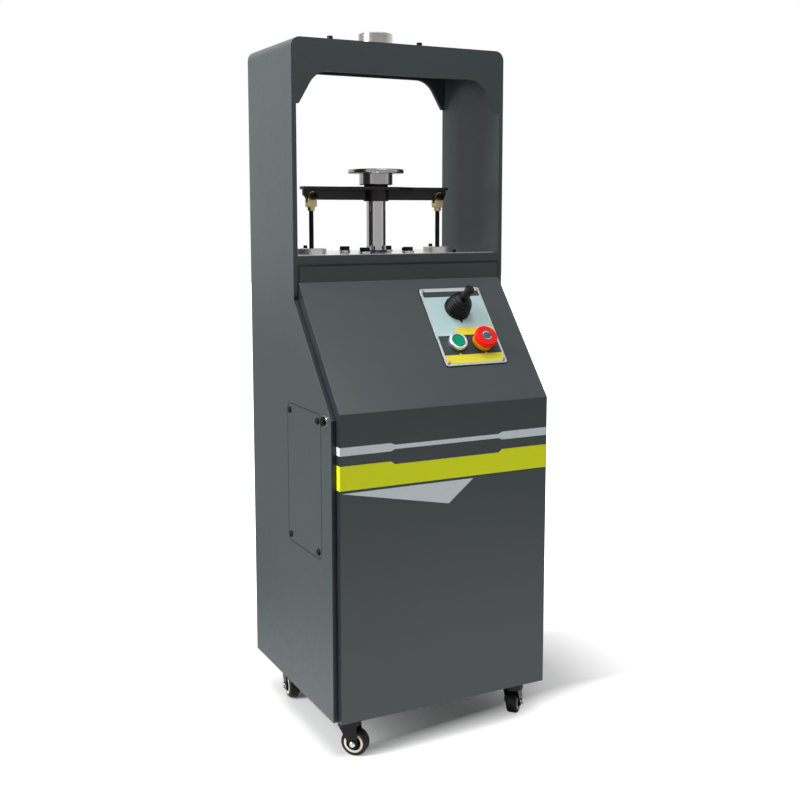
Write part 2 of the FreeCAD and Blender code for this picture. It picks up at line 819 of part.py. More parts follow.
def make_rear_cover():
    """A flat sheet with a shallow fold all round and a column of vent slots."""
    body = new_body("rear_cover")
    sheet_top = SIZE.crossbar_top
    sheet_bottom = SIZE.ground_clearance
    sheet = [(-COVER_SIDE, sheet_bottom), (COVER_SIDE, sheet_bottom), (COVER_SIDE, sheet_top),
             (-COVER_SIDE, sheet_top)]
    pad(body, outline(body, "XZ_Plane", sheet, -BACK), SIZE.sheet_thickness)
    side = COVER_SIDE - SIZE.cover_gap
    top = TABLE_BOTTOM - SIZE.rear_margin
    bottom = BASE_TOP + SIZE.rear_margin
    fold = [(-side, bottom), (side, bottom), (side, top), (-side, top)]
    pad(body, outline(body, "XZ_Plane", fold, -BACK), SIZE.rear_return)
    wall = SIZE.sheet_thickness
    inner = [(-side + wall, bottom + wall), (side - wall, bottom + wall), (side - wall, top - wall),
             (-side + wall, top - wall)]
    pocket(body, outline(body, "XZ_Plane", inner, -REAR_SHEET), SIZE.rear_return, flip=True)
    slot = pocket(body, rectangle(body, "XZ_Plane", (ZERO, SIZE.vent_bottom), SIZE.vent_width,
                                  SIZE.vent_height, -BACK), SIZE.sheet_thickness * 2, flip=True)
    column = body.newObject("PartDesign::LinearPattern", "vent_column")
    column.Originals = [slot]
    column.Direction = (slot.Profile[0], ["V_Axis"])
    bind(column, "Length", SIZE.vent_pitch * (VENT_COUNT - 1))
    column.Occurrences = VENT_COUNT
    body.Tip = column
    gland = circles(body, "XZ_Plane", [(SIZE.gland_x, SIZE.gland_height)], SIZE.gland_body, -BACK)
    pocket(body, gland, SIZE.sheet_thickness * 2, flip=True)
    rows = (SIZE.ground_clearance + SIZE.base_thickness / 2, SIZE.table_top - SIZE.table_thickness / 2)
    holes = [(across * SIZE.rear_screw_spacing, row) for row in rows for across in (-1, 0, 1)]
    pocket(body, circles(body, "XZ_Plane", holes, SIZE.panhead_shank, -BACK),
           SIZE.sheet_thickness * 2, flip=True)
    return body


def make_access_panel():
    body = new_body("access_panel")
    sketch, corners = access_outline(body, ZERO)
    plate = pad(body, sketch, SIZE.access_thickness)
    fillet(body, plate, edges_along(plate, "x", corners), SIZE.access_radius)
    holes = circles(body, "YZ_Plane", access_screw_spots(), SIZE.panhead_shank, -SIZE.overall_width / 2)
    pocket(body, holes, SIZE.access_thickness * 2, flip=True)
    return body


def screw(label, head_diameter, head_height, shank_diameter, shank_length, rounding=None):
    """A screw with a round head on its seat at zero and its shank below."""
    head = head_diameter / 2
    shank = shank_diameter / 2
    body = new_body(label, keep=False)
    profile = [(0, -shank_length), (shank, -shank_length), (shank, 0), (head, 0), (head, head_height),
               (0, head_height)]
    turn = revolve(body, outline(body, "XZ_Plane", profile))
    if rounding is not None:
        fillet(body, turn, circle_edges(turn, head_height, head_diameter), rounding)
    return body


def hex_bolt(label, across, head_height, shank_diameter, shank_length):
    """A hexagon bolt with its head on its seat at zero and its shank below."""
    body = new_body(label, keep=False)
    pad(body, hexagon(body, "XY_Plane", (ZERO, ZERO), across), head_height)
    pad(body, circles(body, "XY_Plane", [(0, 0)], shank_diameter), shank_length, flip=True)
    return body


def ring(label, outside, inside, height):
    """A plain ring or washer standing on zero."""
    body = new_body(label, keep=False)
    pad(body, circles(body, "XY_Plane", [(0, 0)], outside), height)
    pocket(body, circles(body, "XY_Plane", [(0, 0)], inside, height), height * 2)
    return body


def hex_nut(label, across, bore, height):
    body = new_body(label, keep=False)
    pad(body, hexagon(body, "XY_Plane", (ZERO, ZERO), across), height)
    pocket(body, circles(body, "XY_Plane", [(0, 0)], bore, height), height * 2)
    return body


def facing(side):
    """Turns a screw so that its head points to the left (-1) or to the right (+1)."""
    return Rotation(Vector(0, 1, 0), 90 * side)


def make_side_and_rear_screws():
    left = -SIZE.overall_width / 2
    master = screw("access_screw_master", SIZE.access_screw_diameter, SIZE.access_screw_height,
                   SIZE.panhead_shank, SIZE.panhead_length, SIZE.panhead_rounding)
    spots = [at(left, along, up, facing(-1)) for along, up in access_screw_spots()]
    group("access_screws", [master], spots)
    master = screw("panhead_master", SIZE.panhead_diameter, SIZE.panhead_height, SIZE.panhead_shank,
                   SIZE.panhead_length, SIZE.panhead_rounding)
    backwards = Rotation(Vector(1, 0, 0), -90)
    rows = (SIZE.ground_clearance + SIZE.base_thickness / 2, SIZE.table_top - SIZE.table_thickness / 2)
    spots = [at(across * SIZE.rear_screw_spacing, BACK, row, backwards)
             for row in rows for across in (-1, 0, 1)]
    group("rear_screws", [master], spots)
    bolt = hex_bolt("cover_bolt_master", SIZE.cover_bolt_across, SIZE.cover_bolt_head,
                    SIZE.cover_bolt_diameter, SIZE.plate_thickness * 2)
    out = SIZE.overall_width / 2 + SIZE.cover_washer_thickness
    height = SIZE.cover_bolt_height
    group("cover_bolts", [bolt], [at(side * out, COVER_BOLT_Y, height, facing(side)) for side in (-1, 1)])
    washer = ring("cover_washer_master", SIZE.cover_washer_diameter, SIZE.cover_bolt_diameter,
                  SIZE.cover_washer_thickness)
    table_washer = ring("table_washer_master", SIZE.washer_diameter, SIZE.bolt_diameter,
                        SIZE.washer_thickness)
    half = SIZE.overall_width / 2
    sides = copies([washer], [at(side * half, COVER_BOLT_Y, height, facing(side)) for side in (-1, 1)])
    tops = copies([table_washer], [at(across, along, SIZE.table_top) for across, along in bolt_spots()])
    shape_feature("washers", Part.makeCompound(sides + tops))


def table_screw_spots():
    """Two spare screws in the table itself, right of the ram."""
    return [(SIZE.rear_table_screw_x, RAM_Y + SIZE.rear_table_screw_offset),
            (SIZE.front_table_screw_x, RAM_Y - SIZE.front_table_screw_offset)]


def screw_spots():
    """Screws of the guide flanges: place, and whether the head stands proud of the flange."""
    spots = []
    for centre in rod_spots():
        for angle, proud in FLANGE_SCREWS:
            turn = math.radians(angle)
            spots.append((centre[0] + SIZE.flange_screw_radius * math.cos(turn),
                          centre[1] + SIZE.flange_screw_radius * math.sin(turn), proud))
    return spots


def make_table_fasteners():
    bolt = hex_bolt("table_bolt_master", SIZE.bolt_across, SIZE.bolt_head, SIZE.bolt_diameter,
                    SIZE.bolt_length)
    seat = SIZE.table_top + SIZE.washer_thickness
    group("table_bolts", [bolt], [at(across, along, seat) for across, along in bolt_spots()])
    tall = screw("tall_screw_master", SIZE.flange_screw_head, SIZE.flange_screw_proud,
                 SIZE.flange_screw_shank, SIZE.flange_screw_length, SIZE.flange_screw_rounding)
    sunk = screw("sunk_screw_master", SIZE.flange_screw_head, SIZE.sunk_screw_height,
                 SIZE.flange_screw_shank, SIZE.flange_screw_length - SIZE.flange_screw_sink)
    top = SIZE.table_top + SIZE.flange_height
    proud = [at(across, along, top) for across, along, stands in screw_spots() if stands]
    proud += [at(across, along, SIZE.table_top) for across, along in table_screw_spots()]
    flush = [at(across, along, top - SIZE.flange_screw_sink) for across, along, stands in screw_spots()
             if not stands]
    shape_feature("flange_screws", Part.makeCompound(copies([tall], proud) + copies([sunk], flush)))


def make_guide_flanges():
    body = new_body("guide_flange_master", keep=False)
    bore = SIZE.rod_diameter / 2 + SIZE.running_fit
    spigot = SIZE.flange_spigot / 2
    rim = SIZE.flange_diameter / 2
    top = SIZE.flange_height
    low = SIZE.flange_spigot_bottom - SIZE.table_top
    profile = [(bore, low), (spigot, low), (spigot, 0), (rim, 0), (rim, top - SIZE.flange_chamfer),
               (rim - SIZE.flange_chamfer, top), (bore, top)]
    revolve(body, outline(body, "XZ_Plane", profile))
    centre_x, centre_y = rod_spots()[0]
    local = [(across - centre_x, along - centre_y, stands) for across, along, stands in screw_spots()[:4]]
    flush = [spot[:2] for spot in local if not spot[2]]
    shanks = circles(body, "XY_Plane", [spot[:2] for spot in local], SIZE.flange_screw_shank, top)
    pocket(body, shanks, top * 2)
    pocket(body, circles(body, "XY_Plane", flush, SIZE.flange_screw_head, top), SIZE.flange_screw_sink)
    group("guide_flanges", [body], [at(across, along, SIZE.table_top) for across, along in rod_spots()])


def make_gas_springs():
    outer = SIZE.spring_diameter / 2
    bore = SIZE.spring_bore / 2
    top = SIZE.flange_spigot_bottom
    floor = SIZE.spring_bottom + SIZE.spring_end
    profile = [(0, SIZE.spring_bottom), (outer, SIZE.spring_bottom), (outer, top), (bore, top),
               (bore, floor), (0, floor)]
    tube = turned("gas_spring_master", profile, keep=False)
    group("gas_springs", [tube], [at(across, along, 0) for across, along in rod_spots()])
    rod = SIZE.rod_diameter / 2
    rod_top = SIZE.clevis_bottom + SIZE.clevis_rod_depth - SIZE.clevis_chamfer
    profile = [(0, SIZE.rod_bottom), (rod, SIZE.rod_bottom), (rod, rod_top), (0, rod_top)]
    bar = turned("gas_rod_master", profile, keep=False)
    group("gas_rods", [bar], [at(across, along, 0) for across, along in rod_spots()])
    return rod_top


def make_clevises(rod_top):
    """Forked ends on the rods, with the cross screws that hold the beam."""
    body = new_body("clevis_master", keep=False)
    half = SIZE.clevis_width / 2
    low = SIZE.clevis_bottom
    top = SIZE.clevis_pin_height + half
    shape = [(-half, low + SIZE.clevis_chamfer), (-half + SIZE.clevis_chamfer, low),
             (half - SIZE.clevis_chamfer, low), (half, low + SIZE.clevis_chamfer), (half, top), (-half, top)]
    block = pad(body, outline(body, "XZ_Plane", shape), SIZE.clevis_depth, both_sides=True)
    fillet(body, block, edges_along(block, "y", [(-half, top), (half, top)]), SIZE.clevis_rounding)
    slot_width = SIZE.beam_rib + SIZE.clevis_slot_clearance * 2
    beyond = half + OVERCUT
    slot = [(-beyond, SIZE.clevis_slot_bottom), (beyond, SIZE.clevis_slot_bottom),
            (beyond, top + OVERCUT), (-beyond, top + OVERCUT)]
    pocket(body, outline(body, "XZ_Plane", slot), slot_width, both_sides=True)
    pad(body, circles(body, "XY_Plane", [(0, 0)], SIZE.clevis_neck_diameter, SIZE.clevis_neck_bottom),
        low - SIZE.clevis_neck_bottom)
    pocket(body, circles(body, "XY_Plane", [(0, 0)], SIZE.rod_diameter, rod_top), SIZE.clevis_depth)
    pin = circles(body, "XZ_Plane", [(0, SIZE.clevis_pin_height)], SIZE.pin_diameter)
    pocket(body, pin, SIZE.clevis_depth * 2, both_sides=True)
    group("clevises", [body], [at(across, along, 0) for across, along in rod_spots()])
    bolt = screw("clevis_screw_master", SIZE.pin_head_diameter, SIZE.pin_head_height, SIZE.pin_diameter,
                 SIZE.clevis_depth + SIZE.pin_nut_height, SIZE.pin_head_rounding)
    pocket(bolt, hexagon(bolt, "XY_Plane", (ZERO, ZERO), SIZE.pin_socket_across, SIZE.pin_head_height),
           SIZE.pin_head_height / 2)
    nut = hex_nut("clevis_nut_master", SIZE.pin_nut_across, SIZE.pin_diameter, SIZE.pin_nut_height)
    forwards = Rotation(Vector(1, 0, 0), 90)
    front = SIZE.clevis_depth / 2
    back = front + SIZE.pin_nut_height
    height = SIZE.clevis_pin_height
    fronts = [at(across, along - front, height, forwards) for across, along in rod_spots()]
    backs = [at(across, along + back, height, forwards) for across, along in rod_spots()]
    shape_feature("clevis_screws", Part.makeCompound(copies([bolt], fronts) + copies([nut], backs)))


def make_cross_beam():
    body = new_body("cross_beam")
    long = SIZE.beam_length / 2
    thin = SIZE.beam_end_width / 2
    broad = SIZE.beam_middle_width / 2
    inner = SIZE.beam_middle_length / 2
    outer = inner + SIZE.beam_taper_length
    front = [(-long, -thin), (-outer, -thin), (-inner, -broad), (inner, -broad), (outer, -thin),
             (long, -thin)]
    back = [(across, -along) for across, along in reversed(front)]
    underside = SIZE.beam_plate_top - SIZE.beam_plate_thickness
    pad(body, outline(body, "XY_Plane", front + back, underside), SIZE.beam_plate_thickness)
    rib = SIZE.beam_rib_length / 2
    low = SIZE.beam_rib_bottom
    cut = SIZE.beam_rib_chamfer
    shape = [(-rib, underside), (-rib, low + cut), (-rib + cut, low), (rib - cut, low), (rib, low + cut),
             (rib, underside)]
    pad(body, outline(body, "XZ_Plane", shape), SIZE.beam_rib, both_sides=True)
    pad(body, circles(body, "XY_Plane", [(0, 0)], SIZE.beam_sleeve, SIZE.beam_bottom),
        underside - SIZE.beam_bottom)
    pocket(body, circles(body, "XY_Plane", [(0, 0)], SIZE.ram_spigot, SIZE.beam_plate_top), SIZE.beam_sleeve)
    pins = [(-ROD_X, SIZE.clevis_pin_height), (ROD_X, SIZE.clevis_pin_height)]
    pocket(body, circles(body, "XZ_Plane", pins, SIZE.pin_diameter), SIZE.beam_rib * 2, both_sides=True)
    place(body, 0, RAM_Y, 0)
    return body


def make_ram():
    thick = SIZE.ram_diameter / 2
    thin = SIZE.ram_spigot / 2
    nut_top = SIZE.beam_plate_top + SIZE.locknut_height
    tip = nut_top + SIZE.hub_bore_depth
    edge = SIZE.hub_chamfer
    profile = [(0, SIZE.ram_bottom), (thick - edge, SIZE.ram_bottom), (thick, SIZE.ram_bottom + edge),
               (thick, SIZE.beam_bottom), (thin, SIZE.beam_bottom), (thin, tip), (0, tip)]
    place(turned("ram", profile), 0, RAM_Y, 0)
    nut = new_body("ram_locknut")
    disc = circles(nut, "XY_Plane", [(0, 0)], SIZE.locknut_diameter, SIZE.beam_plate_top)
    pad(nut, disc, SIZE.locknut_height)
    pocket(nut, circles(nut, "XY_Plane", [(0, 0)], SIZE.ram_spigot, nut_top), SIZE.locknut_height * 2)
    outer = SIZE.locknut_diameter / 2
    floor = outer - SIZE.locknut_notch_depth
    half = SIZE.locknut_notch / 2
    cut = [(-half, outer + OVERCUT), (-half, floor), (half, floor), (half, outer + OVERCUT)]
    notch = pocket(nut, outline(nut, "XY_Plane", cut, nut_top), SIZE.locknut_height * 2)
    notches = nut.newObject("PartDesign::PolarPattern", "locknut_notches")
    notches.Originals = [notch]
    notches.Axis = (notch.Profile[0], ["N_Axis"])
    notches.Angle = 360
    notches.Occurrences = 4
    nut.Tip = notches
    place(nut, 0, RAM_Y, 0)
    hub = SIZE.hub_diameter / 2
    disc = SIZE.disc_diameter / 2
    low = nut_top
    seat = low + SIZE.hub_height
    top = seat + SIZE.disc_thickness
    profile = [(0, tip), (thin, tip), (thin, low), (hub - edge, low), (hub, low + edge), (hub, seat),
               (disc, seat), (disc, top), (0, top)]
    body = turned("ejector_disc", profile)
    turn = body.Tip
    rims = circle_edges(turn, top, SIZE.disc_diameter) + circle_edges(turn, seat, SIZE.disc_diameter)
    fillet(body, turn, rims, SIZE.disc_rounding)
    place(body, 0, RAM_Y, 0)


def make_lift_cylinder():
    body = new_body("lift_cylinder")
    outer = SIZE.cylinder_diameter / 2
    bore = SIZE.cylinder_bore / 2
    guide = SIZE.ram_diameter / 2 + SIZE.running_fit
    flange = SIZE.cylinder_flange / 2
    low = SIZE.cylinder_bottom
    under = TABLE_BOTTOM - SIZE.cylinder_flange_thickness
    profile = [(0, low), (outer, low), (outer, under), (flange, under), (flange, TABLE_BOTTOM),
               (guide, TABLE_BOTTOM), (guide, TABLE_BOTTOM - SIZE.gland_length),
               (bore, TABLE_BOTTOM - SIZE.gland_length), (bore, low + SIZE.cylinder_end),
               (0, low + SIZE.cylinder_end)]
    revolve(body, outline(body, "XZ_Plane", profile))
    inside = (outer + bore) / 2
    pad(body, circles(body, "YZ_Plane", [(0, SIZE.port_height)], SIZE.port_diameter, inside),
        SIZE.port_reach - inside)
    local = [(side * HALF_BOLTS, end * HALF_BOLTS) for side in (-1, 1) for end in (-1, 1)]
    pocket(body, circles(body, "XY_Plane", local, SIZE.bolt_diameter, TABLE_BOTTOM),
           SIZE.cylinder_flange_thickness * 2)
    place(body, 0, RAM_Y, 0)
    seat = SIZE.table_top - SIZE.wiper_depth
    lip = SIZE.table_top + SIZE.wiper_lip
    rim = SIZE.wiper_diameter / 2
    bevel = SIZE.wiper_bevel
    profile = [(guide, seat), (rim, seat), (rim, SIZE.table_top), (rim - bevel, SIZE.table_top + bevel),
               (guide + SIZE.wiper_edge, lip), (guide, lip)]
    place(turned("rod_wiper", profile), 0, RAM_Y, 0)


def make_top_pieces():
    """The stop plate under the top with its studs, and the spare disc parked on top."""
    body = new_body("stop_plate")
    low = TOP_INSIDE - SIZE.stop_plate_thickness
    half = SIZE.stop_plate_length / 2
    deep = SIZE.stop_plate_width / 2
    shape = [(-half, -deep), (half, -deep), (half, deep), (-half, deep)]
    plate = pad(body, outline(body, "XY_Plane", shape, low), SIZE.stop_plate_thickness)
    fillet(body, plate, edges_along(plate, "z", shape), SIZE.stop_plate_radius)
    through = SIZE.stop_plate_thickness * 2
    pocket(body, circles(body, "XY_Plane", [(0, 0)], SIZE.stop_plate_bore, TOP_INSIDE), through)
    sides = [side * SIZE.stud_spacing / 2 for side in (-1, 1)]
    studs = [(across, 0) for across in sides]
    pocket(body, circles(body, "XY_Plane", studs, SIZE.stud_diameter, TOP_INSIDE), through)
    place(body, 0, RAM_Y, 0)
    radius = SIZE.stud_diameter / 2
    top = SIZE.arch_top + SIZE.stud_rise
    stud = turned("stud_master", [(0, low), (radius, low), (radius, top), (0, top)], keep=False)
    nut = hex_nut("stud_nut_master", SIZE.stud_nut_across, SIZE.stud_diameter, SIZE.stud_nut_height)
    bars = copies([stud], [at(across, RAM_Y, 0) for across in sides])
    nuts = copies([nut], [at(across, RAM_Y, SIZE.arch_top) for across in sides])
    shape_feature("stop_plate_studs", Part.makeCompound(bars + nuts))
    hub = SIZE.hub_diameter / 2
    disc = SIZE.spare_disc_diameter / 2
    bore = SIZE.ram_spigot / 2
    seat = SIZE.arch_top + SIZE.spare_disc_thickness
    tip = seat + SIZE.spare_hub_height
    edge = SIZE.hub_chamfer
    floor = tip - SIZE.hub_bore_depth
    profile = [(0, SIZE.arch_top), (disc, SIZE.arch_top), (disc, seat), (hub, seat), (hub, tip - edge),
               (hub - edge, tip), (bore, tip), (bore, floor), (0, floor)]
    spare = turned("spare_ejector_disc", profile)
    turn = spare.Tip
    rims = (circle_edges(turn, SIZE.arch_top, SIZE.spare_disc_diameter)
            + circle_edges(turn, seat, SIZE.spare_disc_diameter))
    fillet(spare, turn, rims, SIZE.disc_rounding)
    place(spare, 0, RAM_Y, 0)


def panel_spots():
    """Panel screws as offsets from the middle of the control panel."""
    across = SIZE.panel_width / 2 - SIZE.panel_screw_inset
    along = SIZE.panel_length / 2 - SIZE.panel_screw_inset
    return [(side * across, end * along) for side in (-1, 1) for end in (-1, 1)]


def make_control_panel():
    body = new_body("control_panel")
    half = SIZE.panel_width / 2
    long = SIZE.panel_length / 2
    shape = [(-half, -long), (half, -long), (half, long), (-half, long)]
    plate = pad(body, outline(body, "XY_Plane", shape), SIZE.panel_thickness)
    fillet(body, plate, edges_along(plate, "z", shape), SIZE.panel_radius)
    thick = SIZE.panel_thickness
    stick = [(0, SIZE.panel_along - SIZE.joystick_along)]
    pocket(body, circles(body, "XY_Plane", stick, SIZE.joystick_hole, thick), thick * 2)
    low = SIZE.panel_along - SIZE.button_along
    buttons = [(-SIZE.button_half_spacing, low), (SIZE.button_half_spacing, low)]
    pocket(body, circles(body, "XY_Plane", buttons, SIZE.button_barrel, thick), thick * 2)
    pocket(body, circles(body, "XY_Plane", panel_spots(), SIZE.panel_screw_shank, thick), thick * 2)
    place_on_slope(body, PANEL_X, SIZE.panel_along)
    master = screw("panel_screw_master", SIZE.panel_screw_head, SIZE.panel_screw_height,
                   SIZE.panel_screw_shank, thick, SIZE.panel_screw_height / 2)
    spots = [at(*on_slope(PANEL_X + across, SIZE.panel_along - along, thick), desk_rotation())
             for across, along in panel_spots()]
    group("panel_screws", [master], spots)


def make_joystick():
    """Base ring, folded rubber boot, ball-ended stick and handle, upright on the desk."""
    spot = (PANEL_X, SIZE.joystick_along)
    thick = SIZE.panel_thickness
    hole = SIZE.joystick_hole / 2
    foot = SIZE.joystick_base_diameter / 2
    top = thick + SIZE.joystick_base_height
    bevel = SIZE.joystick_base_bevel
    profile = [(hole, thick), (foot, thick), (foot, top - bevel), (foot - bevel, top), (hole, top)]
    place_on_slope(turned("joystick_base", profile), *spot)
    place_on_slope(turned("joystick_boot", boot_profile(top)), *spot)
    stick = SIZE.stick_diameter / 2
    pivot = -SIZE.joystick_pivot
    profile = [(0, pivot), (stick, pivot), (stick, SIZE.handle_bottom), (0, SIZE.handle_bottom)]
    lever = turned("joystick_stick", profile)
    sphere = lever.newObject("PartDesign::AdditiveSphere", "joystick_ball")
    bind(sphere, "Radius", SIZE.stick_ball / 2)
    place(sphere, 0, 0, pivot)
    pin = circles(lever, "YZ_Plane", [(0, pivot)], SIZE.pivot_pin_diameter)
    pad(lever, pin, SIZE.pivot_pin_length, both_sides=True)
    place_on_slope(lever, *spot)
    grip = SIZE.handle_diameter / 2
    profile = [(0, SIZE.handle_bottom), (SIZE.handle_neck / 2, SIZE.handle_bottom),
               (SIZE.handle_waist / 2, SIZE.handle_shoulder),
               (grip, SIZE.handle_top - SIZE.handle_rounding), (grip, SIZE.handle_top),
               (0, SIZE.handle_top)]
    handle = turned("joystick_handle", profile)
    turn = handle.Tip
    rim = circle_edges(turn, SIZE.handle_top, SIZE.handle_diameter)
    fillet(handle, turn, rim, SIZE.handle_rounding)
    place_on_slope(handle, *spot)


def boot_profile(foot_height):
    """Half profile of the boot: folds under a dome that closes in round the stick."""
    foot = SIZE.boot_foot_diameter / 2
    top = SIZE.boot_top_diameter / 2
    outside = []
    inside = []
    for step in range(BOOT_FOLDS * 2 + 1):
        share = step / (BOOT_FOLDS * 2)
        height = foot_height + SIZE.boot_height * share
        radius = top + (foot - top) * math.sqrt(1 - share * share)
        if step % 2:
            radius = radius - SIZE.boot_fold
        outside.append((radius, height))
        inside.append((radius - SIZE.boot_wall, height))
    return outside + inside[::-1]


def make_start_button():
    thick = SIZE.panel_thickness
    spot = (PANEL_X - SIZE.button_half_spacing, SIZE.button_along)
    rim = SIZE.bezel_diameter / 2
    barrel = SIZE.button_barrel / 2
    well = SIZE.cap_diameter / 2 + SIZE.cap_clearance
    bore = SIZE.button_bore / 2
    low = -SIZE.barrel_depth
    top = thick + SIZE.bezel_height
    ledge = thick + SIZE.bezel_chamfer / 2
    profile = [(bore, low), (barrel, low), (barrel, thick), (rim, thick), (rim, top - SIZE.bezel_chamfer),
               (rim - SIZE.bezel_chamfer, top), (well, top), (well, ledge), (bore, ledge)]
    place_on_slope(turned("start_button_bezel", profile), *spot)
    cap = SIZE.cap_diameter / 2
    stem = SIZE.button_stem / 2
    under = SIZE.cap_top - SIZE.cap_height
    profile = [(0, -SIZE.stem_depth), (stem, -SIZE.stem_depth), (stem, under), (cap, under),
               (cap, SIZE.cap_top), (0, SIZE.cap_top)]
    button = turned("start_button", profile)
    turn = button.Tip
    fillet(button, turn, circle_edges(turn, SIZE.cap_top, SIZE.cap_diameter), SIZE.bezel_chamfer)
    place_on_slope(button, *spot)


def make_stop_button():
    """Fixed collar, stem and hollow mushroom head, whose rim slides down over the collar."""
    thick = SIZE.panel_thickness
    spot = (PANEL_X + SIZE.button_half_spacing, SIZE.button_along)
    barrel = SIZE.button_barrel / 2
    bore = SIZE.button_bore / 2
    well = SIZE.collar_well / 2
    low = -SIZE.barrel_depth
    top = thick + SIZE.collar_height
    recess = SIZE.mushroom_diameter / 2 - SIZE.mushroom_wall
    rim = recess - SIZE.collar_clearance
    profile = [(bore, low), (barrel, low), (barrel, thick), (rim + SIZE.collar_flare, thick), (rim, top),
               (well, top), (well, SIZE.collar_well_floor), (bore, SIZE.collar_well_floor)]
    place_on_slope(turned("stop_button_collar", profile), *spot)
    stem = SIZE.button_stem / 2
    under = SIZE.mushroom_bottom
    socket = under + SIZE.mushroom_socket
    profile = [(0, -SIZE.stem_depth), (stem, -SIZE.stem_depth), (stem, socket), (0, socket)]
    place_on_slope(turned("stop_button_stem", profile), *spot)
    cap = SIZE.mushroom_diameter / 2
    boss = SIZE.mushroom_boss / 2
    ceiling = under + SIZE.mushroom_recess
    profile = [(stem, SIZE.mushroom_boss_bottom), (boss, SIZE.mushroom_boss_bottom), (boss, ceiling),
               (recess, ceiling), (recess, under), (cap, under), (cap, SIZE.mushroom_top),
               (0, SIZE.mushroom_top), (0, socket), (stem, socket)]
    head = turned("stop_button", profile)
    turn = head.Tip
    crown = circle_edges(turn, SIZE.mushroom_top, SIZE.mushroom_diameter)
    rounded = fillet(head, turn, crown, SIZE.mushroom_rounding)
    lip = circle_edges(rounded, under, SIZE.mushroom_diameter)
    fillet(head, rounded, lip, SIZE.mushroom_lip_rounding)
    place_on_slope(head, *spot)


def make_contact_blocks():
    """Switch blocks behind the buttons and the joystick's own housing, under the panel."""
    box = DOC.addObject("Part::Box", "contact_block_master")
    bind(box, "Length", SIZE.contact_width)
    bind(box, "Width", SIZE.contact_length)
    bind(box, "Height", SIZE.contact_height)
    place(box, -SIZE.contact_width / 2, -SIZE.contact_length / 2, -SIZE.barrel_depth - SIZE.contact_height)
    sides = (-SIZE.button_half_spacing, SIZE.button_half_spacing)
    blocks = copies([box], [at(*on_slope(PANEL_X + side, SIZE.button_along), desk_rotation())
                            for side in sides])
    housing = new_body("joystick_box_master", keep=False)
    half = SIZE.joystick_box_width / 2
    square = [(-half, -half), (half, -half), (half, half), (-half, half)]
    pad(housing, outline(housing, "XY_Plane", square), SIZE.joystick_box_height, flip=True)
    floor = SIZE.joystick_pivot + SIZE.stick_ball / 2 + SIZE.joystick_play
    pocket(housing, circles(housing, "XY_Plane", [(0, 0)], SIZE.joystick_cavity), floor)
    seat = circles(housing, "YZ_Plane", [(0, -SIZE.joystick_pivot)],
                   SIZE.pivot_pin_diameter + SIZE.running_fit * 2)
    pocket(housing, seat, SIZE.pivot_pin_length + SIZE.joystick_play * 2, both_sides=True)
    spot = at(*on_slope(PANEL_X, SIZE.joystick_along), desk_rotation())
    shape_feature("contact_blocks", Part.makeCompound(blocks + copies([housing], [spot])))


def make_power_pack():
    """Oil tank, valve block and motor, stacked on the base plate, and the pressure pipe."""
    tank = new_body("oil_tank")
    half = SIZE.tank_width / 2
    deep = SIZE.tank_depth / 2
    shape = [(-half, -deep), (half, -deep), (half, deep), (-half, deep)]
    block = pad(tank, outline(tank, "XY_Plane", shape), SIZE.tank_height)
    fillet(tank, block, edges_along(block, "z", shape), SIZE.tank_radius)
    place(tank, SIZE.tank_x, RAM_Y, BASE_TOP)
    valve_bottom = BASE_TOP + SIZE.tank_height
    make_box("valve_block", SIZE.valve_width, SIZE.valve_depth, SIZE.valve_height, SIZE.tank_x, RAM_Y,
             valve_bottom)
    radius = SIZE.motor_diameter / 2
    foot = SIZE.motor_foot_diameter / 2
    crown = SIZE.motor_crown_diameter / 2
    body_top = SIZE.motor_height - SIZE.motor_cap_height
    profile = [(0, 0), (foot, 0), (foot, SIZE.motor_cap_height), (radius, SIZE.motor_cap_height),
               (radius, body_top), (crown, SIZE.motor_height), (0, SIZE.motor_height)]
    motor = turned("pump_motor", profile)
    place(motor, SIZE.tank_x, RAM_Y, valve_bottom + SIZE.valve_height)
    make_pressure_pipe(valve_bottom + SIZE.valve_height / 2)
    make_box("contactor_box", SIZE.contactor_width, SIZE.contactor_depth, SIZE.contactor_height,
             SIZE.contactor_x, COVER_FRONT + SIZE.contactor_inset, BASE_TOP)


def make_pressure_pipe(valve_height):
    """A bent steel pipe from the valve block's side up to the cylinder's port."""
    start = Vector((SIZE.tank_x + SIZE.valve_width / 2).number, RAM_Y.number, valve_height.number)
    low = Vector(SIZE.pipe_x.number, RAM_Y.number, valve_height.number)
    high = Vector(SIZE.pipe_x.number, RAM_Y.number, SIZE.port_height.number)
    end = Vector(SIZE.port_reach.number, RAM_Y.number, SIZE.port_height.number)
    bend = SIZE.pipe_bend.number
    path = Part.makePolygon([start, low, high, end])
    first, second, third = path.Edges
    across = Vector(bend, 0, 0)
    up = Vector(0, 0, bend)
    knee = bend * (1 - math.sqrt(0.5))
    arcs = [Part.Arc(low - across, low + Vector(-knee, 0, knee), low + up).toShape(),
            Part.Arc(high - up, high + Vector(-knee, 0, -knee), high - across).toShape()]
    runs = [Part.makeLine(start, low - across), Part.makeLine(low + up, high - up),
            Part.makeLine(high - across, end)]
    spine = Part.Wire([runs[0], arcs[0], runs[1], arcs[1], runs[2]])
    section = Part.Wire(Part.makeCircle(SIZE.pipe_diameter.number / 2, start, Vector(1, 0, 0)))
    shape_feature("pressure_pipe", spine.makePipeShell([section], True, False))


